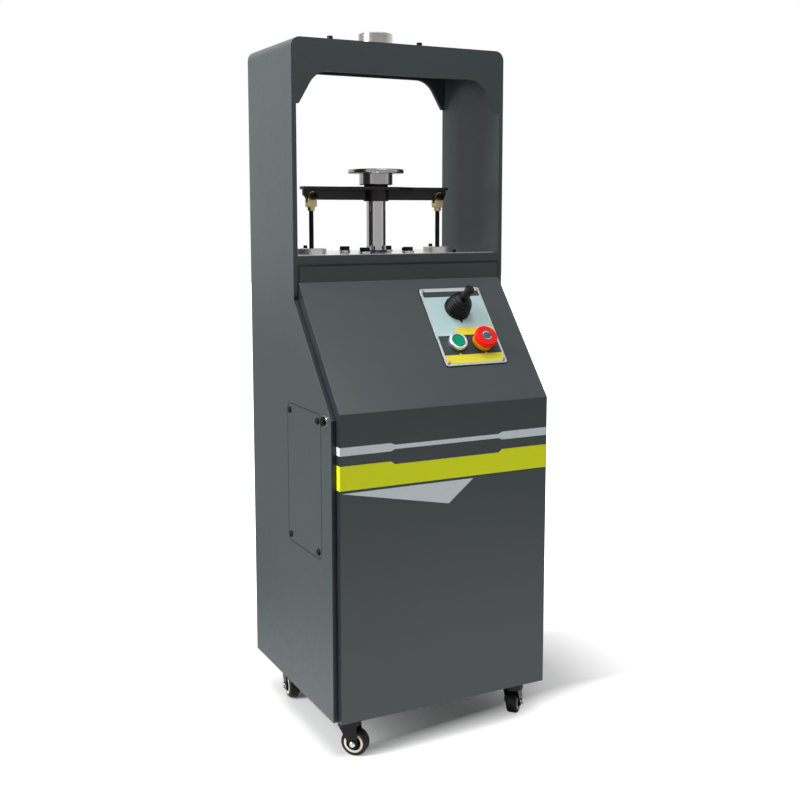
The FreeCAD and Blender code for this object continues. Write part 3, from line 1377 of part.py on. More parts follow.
def make_cable_gland():
    """The closed cable entry low in the rear cover."""
    flange = SIZE.gland_flange / 2
    neck = SIZE.gland_body / 2
    top = SIZE.gland_flange_height
    profile = [(0, -SIZE.gland_length_inside), (neck, -SIZE.gland_length_inside), (neck, 0), (flange, 0),
               (flange - SIZE.gland_bevel, top), (neck, top), (0, top + SIZE.gland_crown)]
    gland = turned("cable_gland", profile)
    place(gland, SIZE.gland_x, BACK, SIZE.gland_height, Rotation(Vector(1, 0, 0), -90))


def castor_spots():
    """Kingpin places with the heading that each castor has at rest."""
    front = COVER_FRONT + SIZE.castor_front_inset
    rear = BACK - SIZE.castor_rear_inset
    return [(-SIZE.castor_x, front, SIZE.heading_front_left),
            (SIZE.castor_x, front, SIZE.heading_front_right),
            (-SIZE.castor_x, rear, SIZE.heading_rear_left),
            (SIZE.castor_x, rear, SIZE.heading_rear_right)]


def castor_fork():
    """Swivel head, two tapering cheeks and the axle with its end nuts, kingpin at the origin."""
    body = new_body("castor_fork_master", keep=False)
    low = SIZE.fork_head_bottom
    top = SIZE.fork_head_top
    pad(body, circles(body, "XY_Plane", [(0, 0)], SIZE.fork_head_diameter, low), top - low)
    axle_y = SIZE.castor_trail
    axle_z = SIZE.wheel_diameter / 2
    eye = SIZE.fork_eye
    foot = SIZE.fork_eye_foot
    cheek = [(-SIZE.cheek_behind, top), (-SIZE.cheek_behind, low), (axle_y - eye, axle_z),
             (axle_y - foot, axle_z - eye), (axle_y + foot, axle_z - eye), (axle_y + eye, axle_z),
             (SIZE.cheek_ahead, low), (SIZE.cheek_ahead_top, top)]
    inner = SIZE.fork_inside / 2
    pad(body, outline(body, "YZ_Plane", cheek, inner), SIZE.fork_cheek)
    pad(body, outline(body, "YZ_Plane", cheek, -inner), SIZE.fork_cheek, flip=True)
    reach = SIZE.axle_length / 2
    axle = circles(body, "YZ_Plane", [(axle_y, axle_z)], SIZE.axle_diameter)
    pad(body, axle, SIZE.axle_length, both_sides=True)
    seat = inner + SIZE.fork_cheek
    nut = circles(body, "YZ_Plane", [(axle_y, axle_z)], SIZE.axle_nut_diameter, seat)
    pad(body, nut, SIZE.axle_nut_height)
    nut = circles(body, "YZ_Plane", [(axle_y, axle_z)], SIZE.axle_nut_diameter, -seat)
    pad(body, nut, SIZE.axle_nut_height, flip=True)
    bore = circles(body, "XY_Plane", [(0, 0)], SIZE.stem_diameter + SIZE.running_fit * 2, top)
    pocket(body, bore, top - low + OVERCUT)
    rivet = SIZE.stem_head_diameter + SIZE.stem_head_clearance * 2
    depth = SIZE.stem_bottom + SIZE.stem_head_height + SIZE.swivel_gap - low
    pocket(body, circles(body, "XY_Plane", [(0, 0)], rivet, low), depth, flip=True)
    return body


def wheel_parts():
    """Wheel core and tyre as turned pieces round their own Z axis."""
    bore = SIZE.axle_diameter / 2 + SIZE.axle_fit
    hub = SIZE.core_hub_diameter / 2
    rim = SIZE.core_diameter / 2
    web = SIZE.core_web / 2
    half_hub = SIZE.core_hub_width / 2
    half_rim = SIZE.core_width / 2
    lip = rim - SIZE.core_rim
    draft = SIZE.core_draft
    upper = [(bore, half_hub), (hub, half_hub), (hub + draft, web), (lip - draft, web), (lip, half_rim),
             (rim, half_rim)]
    lower = [(radius, -height) for radius, height in reversed(upper)]
    core = turned("castor_core_master", upper + lower, keep=False)
    half = SIZE.wheel_width / 2
    tread = SIZE.wheel_diameter / 2
    profile = [(rim, -half), (tread, -half), (tread, half), (rim, half)]
    tyre = new_body("castor_tyre_master", keep=False)
    turn = revolve(tyre, outline(tyre, "XZ_Plane", profile))
    edges = circle_edges(turn, half, SIZE.wheel_diameter) + circle_edges(turn, -half, SIZE.wheel_diameter)
    fillet(tyre, turn, edges, SIZE.tyre_rounding)
    return core, tyre


def make_castors():
    names = ("front_left", "front_right", "rear_left", "rear_right")
    fork = castor_fork()
    core, tyre = wheel_parts()
    sideways = Rotation(Vector(0, 1, 0), 90)
    hub = at(0, SIZE.castor_trail, SIZE.wheel_diameter / 2, sideways)
    for name, (across, along, heading) in zip(names, castor_spots()):
        turn = at(across, along, 0, Rotation(Vector(0, 0, 1), heading.number))
        shape_feature("castor_fork_" + name, copies([fork], [Placement()])[0], turn)
        for label, master in (("castor_core_", core), ("castor_tyre_", tyre)):
            wheel = copies([master], [Placement()])[0]
            shape_feature(label + name, wheel, turn.multiply(hub))
    stem = SIZE.stem_diameter / 2
    rivet = SIZE.stem_head_diameter / 2
    race = SIZE.race_diameter / 2
    low = SIZE.stem_bottom
    grip = low + SIZE.stem_head_height
    bevel = SIZE.race_bevel
    race_bottom = SIZE.fork_head_top + SIZE.cover_gap
    race_top = SIZE.ground_clearance - SIZE.stem_nut_height
    top = BASE_TOP + SIZE.stem_nut_height + SIZE.stem_end
    profile = [(0, low), (rivet, low), (rivet, grip), (stem, grip), (stem, race_bottom), (race, race_bottom),
               (race, race_top - bevel), (race - bevel, race_top), (stem, race_top), (stem, top), (0, top)]
    post = turned("castor_stem_master", profile, keep=False)
    nut = hex_nut("castor_nut_master", SIZE.stem_nut_across, SIZE.stem_diameter, SIZE.stem_nut_height)
    spots = [(across, along) for across, along, heading in castor_spots()]
    posts = copies([post], [at(across, along, 0) for across, along in spots])
    nuts = copies([nut], [at(across, along, height) for across, along in spots
                          for height in (race_top, BASE_TOP)])
    shape_feature("castor_stems", Part.makeCompound(posts + nuts))


def make_all():
    make_arch_frame()
    make_fascia("front_fascia", SIZE.fascia_bottom, ARCH_FRONT)
    make_fascia("rear_fascia", SIZE.rear_fascia_bottom, BACK - SIZE.plate_thickness)
    make_table()
    make_base_plate()
    make_front_cover()
    make_rear_cover()
    make_access_panel()
    make_side_and_rear_screws()
    make_table_fasteners()
    make_guide_flanges()
    make_clevises(make_gas_springs())
    make_cross_beam()
    make_ram()
    make_lift_cylinder()
    make_top_pieces()
    make_control_panel()
    make_joystick()
    make_start_button()
    make_stop_button()
    make_contact_blocks()
    make_power_pack()
    make_cable_gland()
    make_castors()


def check_all():
    """Stops with a plain message if any object failed or any piece isn't a sound solid."""
    DOC.recompute()
    for item in DOC.Objects:
        if "Invalid" in item.State or "Error" in item.State:
            raise RuntimeError(f"{item.Label} failed: {item.State}")
    for piece in PARTS:
        shape = piece.Shape
        if shape.isNull() or not shape.isValid() or not shape.Solids:
            raise RuntimeError(f"{piece.Label} isn't a sound solid")


def write_parts():
    os.makedirs("parts", exist_ok=True)
    for piece in PARTS:
        piece.Shape.exportStep(os.path.join("parts", piece.Label + ".step"))


make_all()
check_all()
write_parts()
print(len(PARTS), "pieces written")
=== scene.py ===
import json
import math

import bmesh
import bpy
from mathutils import Matrix, Vector

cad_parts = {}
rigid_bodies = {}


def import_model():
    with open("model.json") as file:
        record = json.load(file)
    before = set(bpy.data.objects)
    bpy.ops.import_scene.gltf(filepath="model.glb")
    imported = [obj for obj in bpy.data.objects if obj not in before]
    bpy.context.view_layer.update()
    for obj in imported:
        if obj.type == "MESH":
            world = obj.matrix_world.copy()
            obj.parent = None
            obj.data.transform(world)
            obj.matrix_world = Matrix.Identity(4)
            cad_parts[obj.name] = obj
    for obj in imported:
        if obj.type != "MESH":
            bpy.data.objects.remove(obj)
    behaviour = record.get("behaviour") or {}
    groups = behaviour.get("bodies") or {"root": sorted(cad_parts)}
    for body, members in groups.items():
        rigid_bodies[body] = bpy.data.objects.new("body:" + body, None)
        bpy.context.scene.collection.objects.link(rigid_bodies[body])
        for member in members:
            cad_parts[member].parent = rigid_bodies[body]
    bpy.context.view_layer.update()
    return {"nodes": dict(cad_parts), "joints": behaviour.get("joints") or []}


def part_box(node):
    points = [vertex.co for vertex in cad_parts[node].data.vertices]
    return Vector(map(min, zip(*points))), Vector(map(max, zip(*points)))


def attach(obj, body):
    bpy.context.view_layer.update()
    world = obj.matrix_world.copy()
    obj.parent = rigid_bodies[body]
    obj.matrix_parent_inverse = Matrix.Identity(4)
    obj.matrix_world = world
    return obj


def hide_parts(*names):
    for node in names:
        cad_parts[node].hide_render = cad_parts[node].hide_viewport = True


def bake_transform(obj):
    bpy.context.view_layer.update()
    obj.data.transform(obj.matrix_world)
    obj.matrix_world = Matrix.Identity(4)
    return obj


for leftover in list(bpy.data.objects):
    bpy.data.objects.remove(leftover)

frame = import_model()

MM = 0.001
MERGE = 1e-7    # metres; points nearer than this become one
CORNERS = ("front_left", "front_right", "rear_left", "rear_right")
SLOPE_BACK, SLOPE_UP = 0.6345, 0.7729    # direction of the desk and of the kink in the frame


# Materials


class Nodes:
    """A node tree, with short ways to add the nodes that are used here."""

    def __init__(self, tree):
        self.tree = tree

    def feed(self, socket, value):
        """Gives a socket the output of another node, or a constant."""
        if isinstance(value, bpy.types.NodeSocket):
            self.tree.links.new(value, socket)
        else:
            socket.default_value = value

    def node(self, kind, settings=None, **inputs):
        """A new node. An input is given by its name, with _ for a space."""
        made = self.tree.nodes.new(kind)
        for key, value in (settings or {}).items():
            setattr(made, key, value)
        for key, value in inputs.items():
            self.feed(made.inputs[key.replace("_", " ")], value)
        return made

    def calc(self, operation, first, second):
        """A number from two numbers."""
        made = self.node("ShaderNodeMath", {"operation": operation})
        self.feed(made.inputs[0], first)
        self.feed(made.inputs[1], second)
        return made.outputs[0]

    def vector_math(self, operation, first, second):
        """A number from two vectors, such as their distance."""
        made = self.node("ShaderNodeVectorMath", {"operation": operation})
        self.feed(made.inputs[0], first)
        self.feed(made.inputs[1], second)
        return made.outputs["Value"]

    def span(self, value, low, high, to_low, to_high):
        """Maps one range of a number to another, held at both ends."""
        made = self.node("ShaderNodeMapRange", Value=value, From_Min=low, From_Max=high,
                         To_Min=to_low, To_Max=to_high)
        return made.outputs["Result"]

    def pick(self, share, first, second):
        """A number between two, by a share from 0 to 1."""
        made = self.node("ShaderNodeMix", {"data_type": "FLOAT"})
        for socket, value in zip((0, 2, 3), (share, first, second)):
            self.feed(made.inputs[socket], value)
        return made.outputs[0]

    def mix(self, share, first, second):
        """A colour between two, by a share from 0 to 1."""
        made = self.node("ShaderNodeMix", {"data_type": "RGBA"})
        self.feed(made.inputs[0], share)
        for socket, value in ((made.inputs[6], first), (made.inputs[7], second)):
            linked = isinstance(value, bpy.types.NodeSocket)
            self.feed(socket, value if linked else (*value, 1.0))
        return made.outputs[2]


class Finish(Nodes):
    """A procedural material: one shader, with the nodes that give it its detail."""

    NOISE = (0.3, 0.7)    # where nearly all values of a noise lie
    BEVEL = {"samples": 4}

    def __init__(self, name, color, roughness, metallic=0.0, shine=0.5):
        self.name = name
        self.color = color
        self.material = bpy.data.materials.new(name)
        self.material.use_nodes = True
        self.material.diffuse_color = (*color, 1.0)
        super().__init__(self.material.node_tree)
        self.shader = self.tree.nodes["Principled BSDF"]
        self.shader.inputs["Base Color"].default_value = (*color, 1.0)
        self.shader.inputs["Roughness"].default_value = roughness
        self.shader.inputs["Metallic"].default_value = metallic
        self.shader.inputs["Specular IOR Level"].default_value = shine
        self.place = self.node("ShaderNodeTexCoord").outputs["Object"]
        self.normal = None
        self.cloud = None

    def link(self, output, name):
        self.tree.links.new(output, self.shader.inputs[name])

    def stretched(self, scale):
        """Object coordinates in metres, with a scale along each axis."""
        return self.node("ShaderNodeMapping", Vector=self.place, Scale=scale).outputs["Vector"]

    def noise(self, scale, detail=2.0, where=None):
        made = self.node("ShaderNodeTexNoise", Vector=where or self.place, Scale=scale,
                         Detail=detail)
        return made.outputs["Fac"]

    def bump(self, height, distance, strength):
        """Relief of the surface, with its height in metres."""
        made = self.node("ShaderNodeBump", Height=height, Strength=strength, Distance=distance)
        if self.normal:
            self.tree.links.new(self.normal, made.inputs["Normal"])
        self.normal = made.outputs["Normal"]
        self.link(self.normal, "Normal")
        return self

    def soften(self, radius):
        """Small rounding of the edges, in the shading alone."""
        self.normal = self.node("ShaderNodeBevel", self.BEVEL, Radius=radius).outputs["Normal"]
        self.link(self.normal, "Normal")
        return self

    def vary(self, scale, amount, where=None, detail=3.0):
        """Lighter and darker patches of the colour."""
        share = self.span(self.noise(scale, detail, where), *self.NOISE, 0.0, 1.0)
        darker = [c * (1 - amount) for c in self.color]
        lighter = [c * (1 + amount) for c in self.color]
        self.cloud = self.mix(share, darker, lighter)
        self.link(self.cloud, "Base Color")
        return self

    def rough(self, scale, low, high, where=None, detail=3.0):
        """Patches of different roughness."""
        level = self.span(self.noise(scale, detail, where), *self.NOISE, low, high)
        self.link(level, "Roughness")
        return self

    def edges(self, radius, color, amount):
        """Wear and painted highlight: a lighter colour along the edges."""
        rounded_normal = self.node("ShaderNodeBevel", self.BEVEL, Radius=radius).outputs["Normal"]
        flat_normal = self.node("ShaderNodeNewGeometry").outputs["Normal"]
        turn = self.vector_math("DOT_PRODUCT", rounded_normal, flat_normal)
        wear_and_highlight = self.span(turn, 0.98, 0.75, 0.0, amount)
        grain = self.span(self.noise(scale=900.0), 0.35, 0.65, 0.4, 1.0)
        self.cloud = self.mix(self.calc("MULTIPLY", wear_and_highlight, grain), self.cloud, color)
        self.link(self.cloud, "Base Color")
        return self

    def paint_shade_on_side(self, direction, color, top):
        """Painted shade: another colour on the faces that look one way, up to a height in metres.
        """
        normal = self.node("ShaderNodeNewGeometry").outputs["Normal"]
        facing = self.span(self.vector_math("DOT_PRODUCT", normal, direction),
                           0.90, 0.96, 0.0, 1.0)
        height = self.node("ShaderNodeSeparateXYZ", Vector=self.place).outputs["Z"]
        below = self.span(height, top, top + 4 * MM, 1.0, 0.0)
        self.cloud = self.mix(self.calc("MULTIPLY", facing, below), self.cloud, color)
        self.link(self.cloud, "Base Color")
        return self


def coat(name, color, roughness=0.34, peel=0.05, shine=0.5):
    """Powder coat: a fine orange peel, faint clouds, and slightly lighter edges that are partly
    wear and partly painted highlight.
    """
    made = Finish(name, color, roughness, shine=shine).soften(radius=0.9 * MM)
    made.vary(scale=4.0, amount=0.03)
    made.edges(radius=0.8 * MM, color=[min(1.0, c * 1.6) for c in color], amount=0.4)
    made.rough(scale=60.0, low=roughness - 0.03, high=roughness + 0.04)
    made.bump(made.noise(scale=900.0), distance=0.05 * MM, strength=peel)
    return made


def brushed(name, color, grain, roughness=0.26, depth=0.03):
    """Milled or drawn metal with fine lines along one direction, and a depth in millimetres."""
    made = Finish(name, color, roughness, metallic=1.0).soften(radius=0.5 * MM)
    lines = made.stretched(grain)
    made.vary(scale=1.0, amount=0.08, where=lines, detail=5.0)
    made.rough(scale=1.0, low=roughness - 0.05, high=roughness + 0.07, where=lines, detail=4.0)
    made.bump(made.noise(1.0, 3.0, lines), distance=depth * MM, strength=0.5)
    return made


def turned(name, color, roughness, groove):
    """Turned metal: rings round the local upright axis, with a depth in millimetres."""
    made = Finish(name, color, roughness, metallic=1.0).soften(radius=0.4 * MM)
    rings = made.node("ShaderNodeTexWave", {"wave_type": "RINGS", "rings_direction": "Z"},
                      Vector=made.place, Scale=420.0, Distortion=1.2, Detail=2.0,
                      Detail_Scale=3.0)
    made.vary(scale=30.0, amount=0.06)
    made.rough(scale=300.0, low=roughness - 0.05, high=roughness + 0.08)
    made.bump(rings.outputs["Fac"], distance=groove * MM, strength=0.6)
    return made


def satin(name, color, roughness):
    """Bead-blasted or finely ground metal with no direction to its grain."""
    made = Finish(name, color, roughness, metallic=1.0)
    made.vary(scale=60.0, amount=0.04)
    made.rough(scale=400.0, low=roughness - 0.04, high=roughness + 0.05)
    made.bump(made.noise(scale=1500.0), distance=0.01 * MM, strength=0.3)
    return made


def chromed(name, color):
    """Hard chrome on a ground rod: a clean mirror with the faintest drag marks along it."""
    made = Finish(name, color, 0.05, metallic=1.0).soften(radius=0.4 * MM)
    marks = made.stretched((500.0, 500.0, 3.0))
    made.vary(scale=1.0, amount=0.04, where=marks)
    made.rough(scale=1.0, low=0.03, high=0.10, where=marks)
    return made


def moulded(name, color, roughness=0.4, grain=0.08, scale=1500.0, shine=0.5):
    """Moulded plastic or rubber with a fine grain, and a depth in millimetres."""
    made = Finish(name, color, roughness, shine=shine).soften(radius=0.5 * MM)
    made.vary(scale=40.0, amount=0.05)
    made.rough(scale=200.0, low=roughness - 0.05, high=roughness + 0.08)
    made.bump(made.noise(scale), distance=grain * MM, strength=0.35)
    return made


def printed(name, color, roughness=0.42):
    """Printed film or vinyl: an even ink with a slight tooth, and little shine."""
    made = Finish(name, color, roughness, shine=0.25)
    made.vary(scale=700.0, amount=0.025)
    made.rough(scale=300.0, low=roughness - 0.04, high=roughness + 0.05)
    made.bump(made.noise(scale=1800.0), distance=0.01 * MM, strength=0.2)
    return made


def bolt_steel(name, color, roughness=0.32):
    """Black oxide or dull zinc, a little rubbed along the edges."""
    made = Finish(name, color, roughness, shine=0.22).soften(radius=0.4 * MM)
    made.vary(scale=120.0, amount=0.15)
    made.edges(radius=0.6 * MM, color=[c + 0.03 for c in color], amount=0.6)
    made.rough(scale=260.0, low=roughness - 0.06, high=roughness + 0.1)
    made.bump(made.noise(1400.0, 3.0), distance=0.03 * MM, strength=0.4)
    return made


def passivated(name, color):
    """Yellow passivated zinc, which shimmers between gold, pink and green."""
    made = Finish(name, color, 0.28, metallic=1.0).soften(radius=0.4 * MM)
    greener = made.span(made.noise(scale=90.0), 0.35, 0.65, 0.0, 1.0)
    tint = made.mix(greener, (0.92, 0.66, 0.36), (0.80, 0.76, 0.36))
    pinker = made.span(made.noise(scale=160.0), 0.55, 0.75, 0.0, 0.6)
    made.link(made.mix(pinker, tint, (0.93, 0.58, 0.46)), "Base Color")
    made.rough(scale=300.0, low=0.22, high=0.38)
    made.bump(made.noise(scale=1200.0), distance=0.02 * MM, strength=0.4)
    return made


COAT = (0.050, 0.064, 0.067)
# Painted shade for the frame's narrow front edges and the cover's folded left edge
FRAME_EDGE_SHADE = (0.014, 0.020, 0.023)
COVER_EDGE_SHADE = (0.016, 0.024, 0.029)
KINK_HEIGHT = 0.745    # metres; below it the frame's narrow front edges lie beside the cover
ABOVE_COVER = 1.0      # metres; higher than the cover reaches

# One finish for each slot of the CAD model, under the slot's name. Colours are linear.

FINISHES = {made.name: made for made in (
    coat("powder_coat", COAT),
    brushed("table_steel", (0.88, 0.88, 0.88), (18.0, 900.0, 900.0), 0.14, depth=0.010),
    brushed("bright_steel", (0.66, 0.64, 0.61), (5.0, 5.0, 900.0), 0.16, depth=0.002),
    chromed("chrome", (0.80, 0.79, 0.78)),
    bolt_steel("black_steel", (0.004, 0.004, 0.0045), 0.36),
    coat("beam_black", (0.012, 0.012, 0.012), 0.30, peel=0.06),
    passivated("zinc_yellow", (0.70, 0.55, 0.28)),
    coat("cylinder_paint", (0.05, 0.052, 0.055), 0.3),
    brushed("valve_metal", (0.62, 0.63, 0.65), (600.0, 600.0, 14.0), 0.3),
    moulded("seal_blue", (0.025, 0.045, 0.11), 0.35, grain=0.02),
    brushed("panel_print", (0.60, 0.64, 0.65), (25.0, 900.0, 900.0), 0.36, depth=0.02),
    brushed("panel_screw", (0.55, 0.36, 0.26), (300.0, 300.0, 300.0), 0.3),
    moulded("black_plastic", (0.0045, 0.0045, 0.005), 0.36, grain=0.05, shine=0.20),
    moulded("boot_rubber", (0.0035, 0.0035, 0.004), 0.34, grain=0.04, scale=1100.0, shine=0.28),
    brushed("stick_steel", (0.35, 0.35, 0.35), (300.0, 300.0, 20.0), 0.35),
    moulded("green_plastic", (0.0, 0.36, 0.19), 0.45, grain=0.02, shine=0.1),
    moulded("yellow_plastic", (0.92, 0.40, 0.008), 0.3, grain=0.02),
    moulded("grey_plastic", (0.16, 0.16, 0.17), 0.4, grain=0.03),
    moulded("red_plastic", (0.97, 0.010, 0.006), 0.3, grain=0.02, shine=0.2),
    coat("castor_black", (0.0035, 0.0035, 0.0045), 0.22, peel=0.04, shine=0.28),
    bolt_steel("castor_steel", (0.05, 0.05, 0.055)),
    moulded("castor_tyre", (0.010, 0.008, 0.007), 0.38, grain=0.06, scale=900.0, shine=0.3),
)}

# Nodes that look different from the rest of their slot. Painted shade darkens the frame's narrow
# front edges and the folded left edge of the cover.

NODE_FINISH = {
    "guide_flanges": satin("flange_satin", (0.84, 0.83, 0.80), 0.40),
    "arch_frame": coat("frame_coat", COAT).paint_shade_on_side(
        (0.0, -1.0, 0.0), FRAME_EDGE_SHADE, KINK_HEIGHT).paint_shade_on_side(
        (0.0, -SLOPE_UP, SLOPE_BACK), FRAME_EDGE_SHADE, KINK_HEIGHT),
    "front_cover": coat("cover_coat", COAT).paint_shade_on_side((-1.0, 0.0, 0.0), COVER_EDGE_SHADE, ABOVE_COVER),
}
LIME = printed("lime_vinyl", (0.78, 0.85, 0.012))
SILVER = printed("silver_vinyl", (0.67, 0.73, 0.75))
SATIN = satin("bezel_satin", (0.82, 0.84, 0.84), 0.36)
INK_DARK = printed("ink_dark", (0.040, 0.062, 0.068))
INK_PALE = printed("ink_pale", (0.52, 0.71, 0.72))
INK_YELLOW = printed("ink_yellow", (0.86, 0.79, 0.05))
BADGE_DARK = moulded("badge_dark", (0.075, 0.080, 0.105), 0.35, grain=0.02)
BADGE_PALE = moulded("badge_pale", (0.55, 0.60, 0.66), 0.4, grain=0.02)
# Dark material for the real joint round the access panel, and for painted shade round the control
# panel and along the cover's top edge
JOINT_AND_SHADE = moulded("gasket", (0.006, 0.007, 0.008), 0.5, grain=0.03)
CREAM = moulded("castor_cream", (0.80, 0.72, 0.55), 0.36, grain=0.03)
NUT_ZINC = turned("nut_zinc", (0.72, 0.80, 0.86), 0.16, groove=0.004)

for node_name, node in frame["nodes"].items():
    for holder in node.material_slots:
        slot_name = holder.material.name.split(".")[0]
        chosen = NODE_FINISH.get(node_name) or FINISHES[slot_name]
        holder.material = chosen.material


# Mesh building. Profiles, outlines and thicknesses are in millimetres.


def new_piece(name, mesh, finish, body, place=None):
    """A piece of the visual model, placed in the frame, on a body where one is given."""
    mesh.name = name
    mesh.materials.append(finish.material)
    if place:
        mesh.transform(place)
    piece = bpy.data.objects.new(name, mesh)
    bpy.context.scene.collection.objects.link(piece)
    if body:
        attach(piece, body)
    return piece


def finished_mesh(work):
    """The mesh of a bmesh, with every face turned outwards."""
    bmesh.ops.recalc_face_normals(work, faces=work.faces)
    mesh = bpy.data.meshes.new("piece")
    work.to_mesh(mesh)
    work.free()
    return mesh


def lathe_mesh(profile, count=96, degrees=35.0):
    """Turns a half profile of radius and height round the local Z axis. Edges of a larger angle
    than the degrees stay sharp."""
    work = bmesh.new()
    rings = []
    for radius, height in profile:
        ring = []
        for step in range(count if radius else 1):
            turn = 2 * math.pi * step / count
            ring.append(work.verts.new((radius * MM * math.cos(turn),
                                        radius * MM * math.sin(turn), height * MM)))
        rings.append(ring)
    for lower, upper in zip(rings, rings[1:]):
        for step in range(count):
            after = (step + 1) % count
            corners = [lower[step % len(lower)], lower[after % len(lower)],
                       upper[after % len(upper)], upper[step % len(upper)]]
            face = list(dict.fromkeys(corners))
            if len(face) > 2:
                work.faces.new(face)
    bmesh.ops.remove_doubles(work, verts=work.verts, dist=MERGE)
    bmesh.ops.recalc_face_normals(work, faces=work.faces)
    work.normal_update()
    for face in work.faces:
        face.smooth = True
    for edge in work.edges:
        if len(edge.link_faces) == 2:
            edge.smooth = edge.calc_face_angle() < math.radians(degrees)
    return finished_mesh(work)


def plate_mesh(outlines, thickness):
    """Flat plates from closed outlines, raised along the local Z axis."""
    work = bmesh.new()
    for outline in outlines:
        bottom = [work.verts.new((x * MM, y * MM, 0.0)) for x, y in outline]
        top = [work.verts.new((x * MM, y * MM, thickness * MM)) for x, y in outline]
        work.faces.new(bottom[::-1])
        work.faces.new(top)
        for step in range(len(outline)):
            after = (step + 1) % len(outline)
            work.faces.new((bottom[step], bottom[after], top[after], top[step]))
    return finished_mesh(work)


def frame_mesh(outer, inner, thickness):
    """A flat frame between two outlines of as many points, raised along the local Z axis."""
    work = bmesh.new()
    edges = ((outer, 0.0), (inner, 0.0), (inner, thickness), (outer, thickness))
    loops = [[work.verts.new((x * MM, y * MM, height * MM)) for x, y in outline]
             for outline, height in edges]
    for near, far in zip(loops, loops[1:] + loops[:1]):
        for step in range(len(near)):
            after = (step + 1) % len(near)
            work.faces.new((near[step], near[after], far[after], far[step]))
    return finished_mesh(work)


def spot_on_circle(radius, turn, middle=(0.0, 0.0)):
    return (middle[0] + radius * math.cos(turn), middle[1] + radius * math.sin(turn))


def rounded(width, height, radius, steps=6):
    """Outline of a rectangle with rounded corners."""
    points = []
    for quarter, (side, end) in enumerate(((1, 1), (-1, 1), (-1, -1), (1, -1))):
        middle = (side * (width / 2 - radius), end * (height / 2 - radius))
        for step in range(steps + 1):
            points.append(spot_on_circle(radius, math.pi / 2 * (quarter + step / steps), middle))
    return points


def box_outline(left, right, low, high):
    return [(left, low), (right, low), (right, high), (left, high)]


def arc_arrow(inner, outer, start, end, steps=18):
    """Outline of an arc that ends in an arrow head, with angles in degrees."""
    head_turn = 22
    middle = (inner + outer) / 2
    head = outer - inner
    turns = [math.radians(start + (end - start) * step / steps) for step in range(steps + 1)]
    tip = math.radians(end + head_turn)
    outside = [spot_on_circle(outer, turn) for turn in turns]
    inside = [spot_on_circle(inner, turn) for turn in reversed(turns)]
    return outside + [spot_on_circle(middle + head, turns[-1]), spot_on_circle(middle, tip),
                      spot_on_circle(middle - head, turns[-1])] + inside


# Control panel: its own frame has X across, Y up the slope and Z out of it

PANEL_THICK = 2.0
panel_low, panel_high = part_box("control_panel")
slope_up = Vector((0.0, SLOPE_BACK, SLOPE_UP)).normalized()
slope_out = Vector((0.0, -slope_up.z, slope_up.y))
panel_middle = (panel_low + panel_high) / 2 + slope_out * PANEL_THICK / 2 * MM


def on_panel(across=0.0, up=0.0, out=0.0):
    """Placement matrix for a piece at a spot of the panel's face, in millimetres."""
    spot = panel_middle + Vector((across * MM, 0, 0)) + slope_up * up * MM + slope_out * out * MM
    turn = Matrix((Vector((1, 0, 0)), slope_up, slope_out)).transposed().to_4x4()
    return Matrix.Translation(spot) @ turn


BUTTON_ACROSS, BUTTON_UP = 25.0, -35.5
SIDE = 55.2    # half the width of the print
TOP_EDGE = [(SIDE, 68.3), (52.2, 71.3), (-52.2, 71.3), (-SIDE, 68.3)]
BOTTOM_EDGE = [(-SIDE, -67.0), (-49.5, -74.2), (49.5, -74.2), (SIDE, -67.0)]
TOP_BAND, TAG_LOW, TAG_HIGH, BAND_LOW, BAND_HIGH = 60.2, -19.0, -5.0, -58.2, -19.2
FIRST_LAYER, SECOND_LAYER, THIRD_LAYER = 0.05, 0.09, 0.13


def pointer(across):
    """A small triangle that points up at a button."""
    return [(across - 3.2, BAND_LOW - 0.1), (across + 3.2, BAND_LOW - 0.1), (across, -54.9)]


panel_prints = (
    ("panel_field", INK_PALE, FIRST_LAYER, [BOTTOM_EDGE + TOP_EDGE]),
    ("panel_top_band", INK_DARK, SECOND_LAYER, [[(-SIDE, TOP_BAND), (SIDE, TOP_BAND)] + TOP_EDGE]),
    ("panel_arrow", INK_DARK, SECOND_LAYER, [[(-3.4, 10.6), (0.0, 3.2), (3.4, 10.6)]]),
    ("panel_tag", INK_YELLOW, SECOND_LAYER,
     [[(-20.0, TAG_LOW), (SIDE, TAG_LOW), (SIDE, TAG_HIGH), (-15.5, TAG_HIGH), (-20.0, -12.0)]]),
    ("panel_button_band", INK_DARK, SECOND_LAYER, [box_outline(-SIDE, SIDE, BAND_LOW, BAND_HIGH)]),
    ("panel_bottom_strip", INK_YELLOW, THIRD_LAYER,
     [[(-SIDE, BAND_LOW)] + BOTTOM_EDGE + [(SIDE, BAND_LOW)],
      pointer(-BUTTON_ACROSS), pointer(BUTTON_ACROSS)]),
)
for piece_name, ink, thickness, outlines in panel_prints:
    new_piece(piece_name, plate_mesh(outlines, thickness), ink, "machine_body", on_panel())
# Painted shade: a thin dark plate under the panel, a little larger than it, so that a dark outline
# shows round the panel's edge.
JOINT_AND_SHADE_WIDE, JOINT_AND_SHADE_LONG, JOINT_AND_SHADE_CORNER, JOINT_AND_SHADE_THICK = 121.4, 160.4, 5.4, 0.5
gasket = plate_mesh([rounded(JOINT_AND_SHADE_WIDE, JOINT_AND_SHADE_LONG, JOINT_AND_SHADE_CORNER)], JOINT_AND_SHADE_THICK)
new_piece("panel_joint_and_shade", gasket, JOINT_AND_SHADE, "machine_body", on_panel(out=-PANEL_THICK))

# Satin ring round the start button, and a badge with twist arrows on the stop button

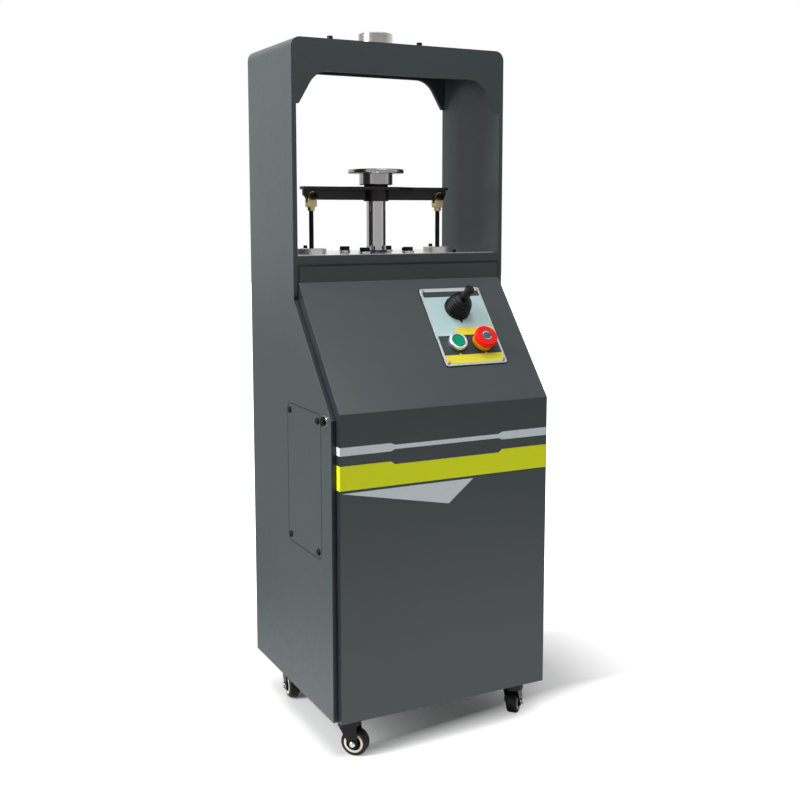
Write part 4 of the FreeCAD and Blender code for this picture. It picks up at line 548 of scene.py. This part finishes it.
STOP_TOP = 20.5
BADGE_THICK = 0.16
SATIN_RING = [(15.05, 0.4), (16.0, 0.4), (16.3, 0.9), (16.3, 8.8), (15.9, 9.6), (15.0, 10.0),
              (12.9, 10.0), (12.2, 9.4), (12.1, 6.1), (15.05, 6.1), (15.05, 0.4)]
BADGE = [(0, 0.0), (9.85, 0.0), (9.85, 0.10), (9.6, BADGE_THICK), (0, BADGE_THICK)]
ARROW_INNER, ARROW_OUTER, ARROW_TURN, ARROW_THICK = 6.4, 8.3, -120.0, 0.08
new_piece("start_ring", lathe_mesh(SATIN_RING), SATIN, "machine_body",
          on_panel(-BUTTON_ACROSS, BUTTON_UP))
new_piece("stop_badge", lathe_mesh(BADGE), BADGE_DARK, "stop_head",
          on_panel(BUTTON_ACROSS, BUTTON_UP, STOP_TOP))
arrows = [arc_arrow(ARROW_INNER, ARROW_OUTER, start, start + ARROW_TURN)
          for start in (160.0, 340.0)]
new_piece("stop_arrows", plate_mesh(arrows, ARROW_THICK), BADGE_PALE, "stop_head",
          on_panel(BUTTON_ACROSS, BUTTON_UP, STOP_TOP + BADGE_THICK))


# Graphics of the lower front, without its lettering, folded round the left edge of the cover

cover_low, cover_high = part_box("front_cover")
COVER_X = cover_high.x / MM
COVER_Y = cover_low.y / MM
RETURN_REACH = 12.4
VINYL = 0.08


def on_front(face=COVER_Y):
    """Placement with local X across and local Y up, on an upright face of the cover."""
    turn = Matrix(((1, 0, 0), (0, 0, -1), (0, 1, 0))).to_4x4()
    return Matrix.Translation((0, face * MM, 0)) @ turn


def on_left(spot):
    """Placement with local X towards the front and local Y up, on a face that looks left."""
    turn = Matrix(((0, 0, -1), (-1, 0, 0), (0, 1, 0))).to_4x4()
    return Matrix.Translation(spot) @ turn


UPPER_AHEAD = 2.5    # how far the cover's upper strip stands in front of the table's crossbar
# Painted shade: a thin dark strip along the top of the cover's upper face and down both its ends,
# for the shadow in the gap at the cover's edge.
GAP_SHADE_WIDE, GAP_SHADE_HIGH, GAP_SHADE_DOWN, GAP_SHADE_THICK = 1.6, 2.0, 28.0, 0.15
gap_shade_top = cover_high.z / MM
gap_shade = [box_outline(-COVER_X, COVER_X, gap_shade_top - GAP_SHADE_HIGH, gap_shade_top),
       box_outline(-COVER_X, -COVER_X + GAP_SHADE_WIDE, gap_shade_top - GAP_SHADE_DOWN, gap_shade_top - GAP_SHADE_HIGH),
       box_outline(COVER_X - GAP_SHADE_WIDE, COVER_X, gap_shade_top - GAP_SHADE_DOWN, gap_shade_top - GAP_SHADE_HIGH)]
upper_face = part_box("table_crossbar")[0].y / MM - UPPER_AHEAD
new_piece("cover_gap_shade", plate_mesh(gap_shade, GAP_SHADE_THICK), JOINT_AND_SHADE, "machine_body",
          on_front(upper_face))

LEFT, RIGHT = -COVER_X, COVER_X - 1
STEP_OUT, STEP_IN = 103, 96    # where the stripes step, to both sides of the middle
STRIPE_LOW, STRIPE_HIGH = 508.0, 521.3
LIME_LOW, LIME_HIGH = 452.8, 491.8
SHADE_LOW, SHADE_HIGH = 450.6, 452.6


def stepped(ends, middle):
    """The edge of a stripe from left to right, at another height in its middle."""
    return [(LEFT, ends), (-STEP_OUT, ends), (-STEP_IN, middle),
            (STEP_IN, middle), (STEP_OUT, ends), (RIGHT, ends)]


front_pieces = (
    ("stripe_vinyl", SILVER, stepped(STRIPE_LOW, 511.0) + stepped(STRIPE_HIGH, 518.0)[::-1],
     (STRIPE_LOW, STRIPE_HIGH)),
    ("lime_vinyl", LIME,
     [(LEFT, LIME_LOW), (RIGHT, LIME_LOW)] + stepped(LIME_HIGH, 486.7)[::-1],
     (LIME_LOW, LIME_HIGH)),
    ("lime_shade", INK_DARK, box_outline(LEFT, RIGHT, SHADE_LOW, SHADE_HIGH),
     (SHADE_LOW, SHADE_HIGH)),
    ("triangle_vinyl", SILVER, [(-189, 448.6), (2, 411.5), (48, 448.6)], None),
)
for piece_name, vinyl, outline, fold in front_pieces:
    new_piece(piece_name, plate_mesh([outline], VINYL), vinyl, "machine_body", on_front())
    if fold:
        wrap = box_outline(-COVER_Y - RETURN_REACH, -COVER_Y, *fold)
        new_piece(piece_name + "_fold", plate_mesh([wrap], VINYL), vinyl, "machine_body",
                  on_left((cover_low.x, 0, 0)))


# Dark joint round the access panel

SEAM_OUT, SEAM_OUT_CORNER = 2.6, 13.3
SEAM_IN, SEAM_IN_CORNER = 0.8, 11.6
SEAM_THICK = 0.06
access_low, access_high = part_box("access_panel")
access_middle = (access_low + access_high) / 2
access_wide = (access_high.y - access_low.y) / MM
access_tall = (access_high.z - access_low.z) / MM
seam = frame_mesh(rounded(access_wide + SEAM_OUT, access_tall + SEAM_OUT, SEAM_OUT_CORNER),
                  rounded(access_wide - SEAM_IN, access_tall - SEAM_IN, SEAM_IN_CORNER),
                  SEAM_THICK)
new_piece("access_seam", seam, JOINT_AND_SHADE, "machine_body",
          on_left((access_low.x, access_middle.y, access_middle.z)))


# Castors: cream rings on both faces of each wheel, and dome nuts on the axle ends

RING = [(12.4, 9.0), (16.2, 9.0), (16.2, 9.8), (15.8, 9.98), (12.9, 9.98), (12.4, 9.75),
        (12.4, 9.0)]
DOME = [(0, 18.0), (2.4, 17.8), (4.1, 17.1), (5.2, 15.9), (5.7, 14.4), (5.7, 13.45)]
rolling = {joint["child"]: joint for joint in frame["joints"] if joint["name"].startswith("roll_")}
for corner in CORNERS:
    joint = rolling["wheel_" + corner]
    for side_name, side in (("outer", 1), ("inner", -1)):
        turn = (Vector(joint["axis"]) * side).to_track_quat("Z", "Y").to_matrix().to_4x4()
        hub = Matrix.Translation(joint["pos_m"]) @ turn
        new_piece(f"castor_ring_{corner}_{side_name}", lathe_mesh(RING, count=64), CREAM,
                  "wheel_" + corner, hub)
        new_piece(f"castor_nut_{corner}_{side_name}", lathe_mesh(DOME, count=48), NUT_ZINC,
                  "castor_" + corner, hub)


# Joystick boot

BOOT_FOOT, BOOT_NECK = 21.6, 7.4
BOOT_LOW, BOOT_HIGH = 7.6, 32.3
BOOT_RIM = [(BOOT_FOOT - 1.5, 7.05), (BOOT_FOOT, 7.3)]
BOOT_RIBS, RIB_DEPTH, RIB_STEPS = 5, 4.0, 12


def boot_profile():
    """Folded rubber boot: rounded ribs on a dome that narrows to the handle."""
    profile = list(BOOT_RIM)
    for step in range(BOOT_RIBS * RIB_STEPS + 1):
        share = step / (BOOT_RIBS * RIB_STEPS)
        rib = abs(math.sin(math.pi * BOOT_RIBS * share)) ** 0.5
        dome = BOOT_NECK + (BOOT_FOOT - BOOT_NECK) * math.sqrt(1 - share ** 2)
        profile.append((dome - RIB_DEPTH * (1 - rib), BOOT_LOW + (BOOT_HIGH - BOOT_LOW) * share))
    return profile


base_low, base_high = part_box("joystick_base")
base_middle = (base_low + base_high) / 2
boot_spot = ((base_middle - panel_middle).x / MM, (base_middle - panel_middle).dot(slope_up) / MM)
boot = new_piece("joystick_boot_rubber", lathe_mesh(boot_profile(), degrees=60.0),
                 FINISHES["boot_rubber"], None, on_panel(*boot_spot))
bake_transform(boot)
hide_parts("joystick_boot")


# Camera, fitted to the straight edges in the photograph

YAW = math.radians(27.057)
PITCH = math.radians(7.019)
ROLL = math.radians(0.026)
CAMERA_SPOT = (-0.8817, -1.7391, 0.8800)
camera_data = bpy.data.cameras.new("camera")
camera_data.sensor_width = 36.0
camera_data.lens = 50.57
camera_data.shift_y = -0.06
camera = bpy.data.objects.new("camera", camera_data)
bpy.context.scene.collection.objects.link(camera)
ahead = Vector((math.sin(YAW) * math.cos(PITCH), math.cos(YAW) * math.cos(PITCH),
                -math.sin(PITCH)))
level_right = Vector((math.cos(YAW), -math.sin(YAW), 0.0))
level_down = ahead.cross(level_right)
right = math.cos(ROLL) * level_right + math.sin(ROLL) * level_down
down = math.cos(ROLL) * level_down - math.sin(ROLL) * level_right
camera.matrix_world = Matrix.Translation(CAMERA_SPOT) @ Matrix(
    (right, -down, -ahead)).transposed().to_4x4()
bpy.context.scene.camera = camera


# Floor: a pale plane that keeps the shadow, and glows for the camera where the photograph's is
# white, which is away from the machine and in front of it. Before the machine's front it throws
# more light back than elsewhere, so that the front grows lighter downwards.

FLOOR_HALF = 12.0
FLOOR_WHITE = 0.93
UNDER_MACHINE = (0.06, 0.0, 0.0)
TOWARDS_FRONT = (0.12, -1.0, 0.0)
FRONT_RIGHT = (0.45, -0.55, 0.0)
floor_mesh = bpy.data.meshes.new("floor")
grid = bmesh.new()
bmesh.ops.create_grid(grid, x_segments=8, y_segments=8, size=FLOOR_HALF)
grid.to_mesh(floor_mesh)
grid.free()
floor = bpy.data.objects.new("floor", floor_mesh)
bpy.context.scene.collection.objects.link(floor)
floor_material = bpy.data.materials.new("floor")
floor_material.use_nodes = True
nodes = Nodes(floor_material.node_tree)
nodes.tree.nodes.clear()
seen = nodes.node("ShaderNodeLightPath").outputs["Is Camera Ray"]
spot = nodes.node("ShaderNodeTexCoord").outputs["Object"]
away = nodes.vector_math("DISTANCE", spot, UNDER_MACHINE)
forwards = nodes.vector_math("DOT_PRODUCT", spot, TOWARDS_FRONT)
lit = nodes.calc("MAXIMUM", nodes.span(away, 0.27, 0.80, 0.02, 1.0),
                 nodes.span(forwards, 0.113, 0.200, 0.0, 1.0))
bounce = nodes.span(nodes.vector_math("DISTANCE", spot, FRONT_RIGHT), 0.6, 1.5, 0.90, 0.20)
diffuse = nodes.node("ShaderNodeBsdfDiffuse", Color=nodes.pick(seen, bounce, FLOOR_WHITE))
glow = nodes.node("ShaderNodeEmission", Strength=nodes.calc("MULTIPLY", seen, lit))
both = nodes.node("ShaderNodeAddShader")
nodes.feed(both.inputs[0], diffuse.outputs[0])
nodes.feed(both.inputs[1], glow.outputs[0])
nodes.node("ShaderNodeOutputMaterial", Surface=both.outputs[0])
floor_mesh.materials.append(floor_material)


# World: white to the camera, and darker in front of the machine for light and for reflections.
# Reflections are dimmed towards the rear left as well.

WORLD_FRONT, WORLD_REAR = -0.75, 0.2    # the direction's Y where the levels start and end
REAR_LEFT = (-0.75, 0.66, 0.0)
world = bpy.data.worlds.new("studio")
world.use_nodes = True
bpy.context.scene.world = world
nodes = Nodes(world.node_tree)
rays = nodes.node("ShaderNodeLightPath").outputs
direction = nodes.node("ShaderNodeTexCoord").outputs["Generated"]
depth = nodes.node("ShaderNodeSeparateXYZ", Vector=direction).outputs["Y"]
lighting = nodes.span(depth, WORLD_FRONT, WORLD_REAR, 0.10, 0.55)
reflected = nodes.span(depth, WORLD_FRONT, WORLD_REAR, 0.42, 0.85)
leftwards = nodes.vector_math("DOT_PRODUCT", direction, REAR_LEFT)
mirrored = nodes.calc("MULTIPLY", reflected, nodes.span(leftwards, 0.72, 0.90, 1.0, 0.60))
white = nodes.calc("MAXIMUM", rays["Is Camera Ray"], rays["Is Transmission Ray"])
strength = nodes.calc("MAXIMUM", nodes.pick(rays["Is Glossy Ray"], lighting, mirrored), white)
background = nodes.tree.nodes["Background"]
background.inputs["Color"].default_value = (1.0, 1.0, 1.0, 1.0)
nodes.feed(background.inputs["Strength"], strength)


# Lamps


def light(data, place, aim):
    """Puts a lamp in the scene, turned to a spot."""
    made = bpy.data.objects.new(data.name, data)
    made.location = place
    made.rotation_euler = (Vector(aim) - Vector(place)).to_track_quat("-Z", "Y").to_euler()
    bpy.context.scene.collection.objects.link(made)


def softbox(name, watts, wide, high, place, aim):
    """A rectangular area lamp, in metres."""
    data = bpy.data.lights.new(name, "AREA")
    data.shape = "RECTANGLE"
    data.size, data.size_y = wide, high
    data.energy = watts
    light(data, place, aim)


softbox("left_softbox", 102.0, 1.1, 2.2, place=(-2.6, 0.1, 1.75), aim=(0.0, 0.08, 0.85))
softbox("front_softbox", 5.6, 0.8, 0.5, place=(0.1, -1.0, 2.0), aim=(0.0, 0.0, 1.0))
sun = bpy.data.lights.new("high_sun", "SUN")
sun.energy = 1.1
sun.angle = math.radians(24.0)
light(sun, place=(-0.60, -0.50, 3.0), aim=(0.0, 0.0, 0.0))

bpy.context.scene.view_settings.view_transform = "Standard"
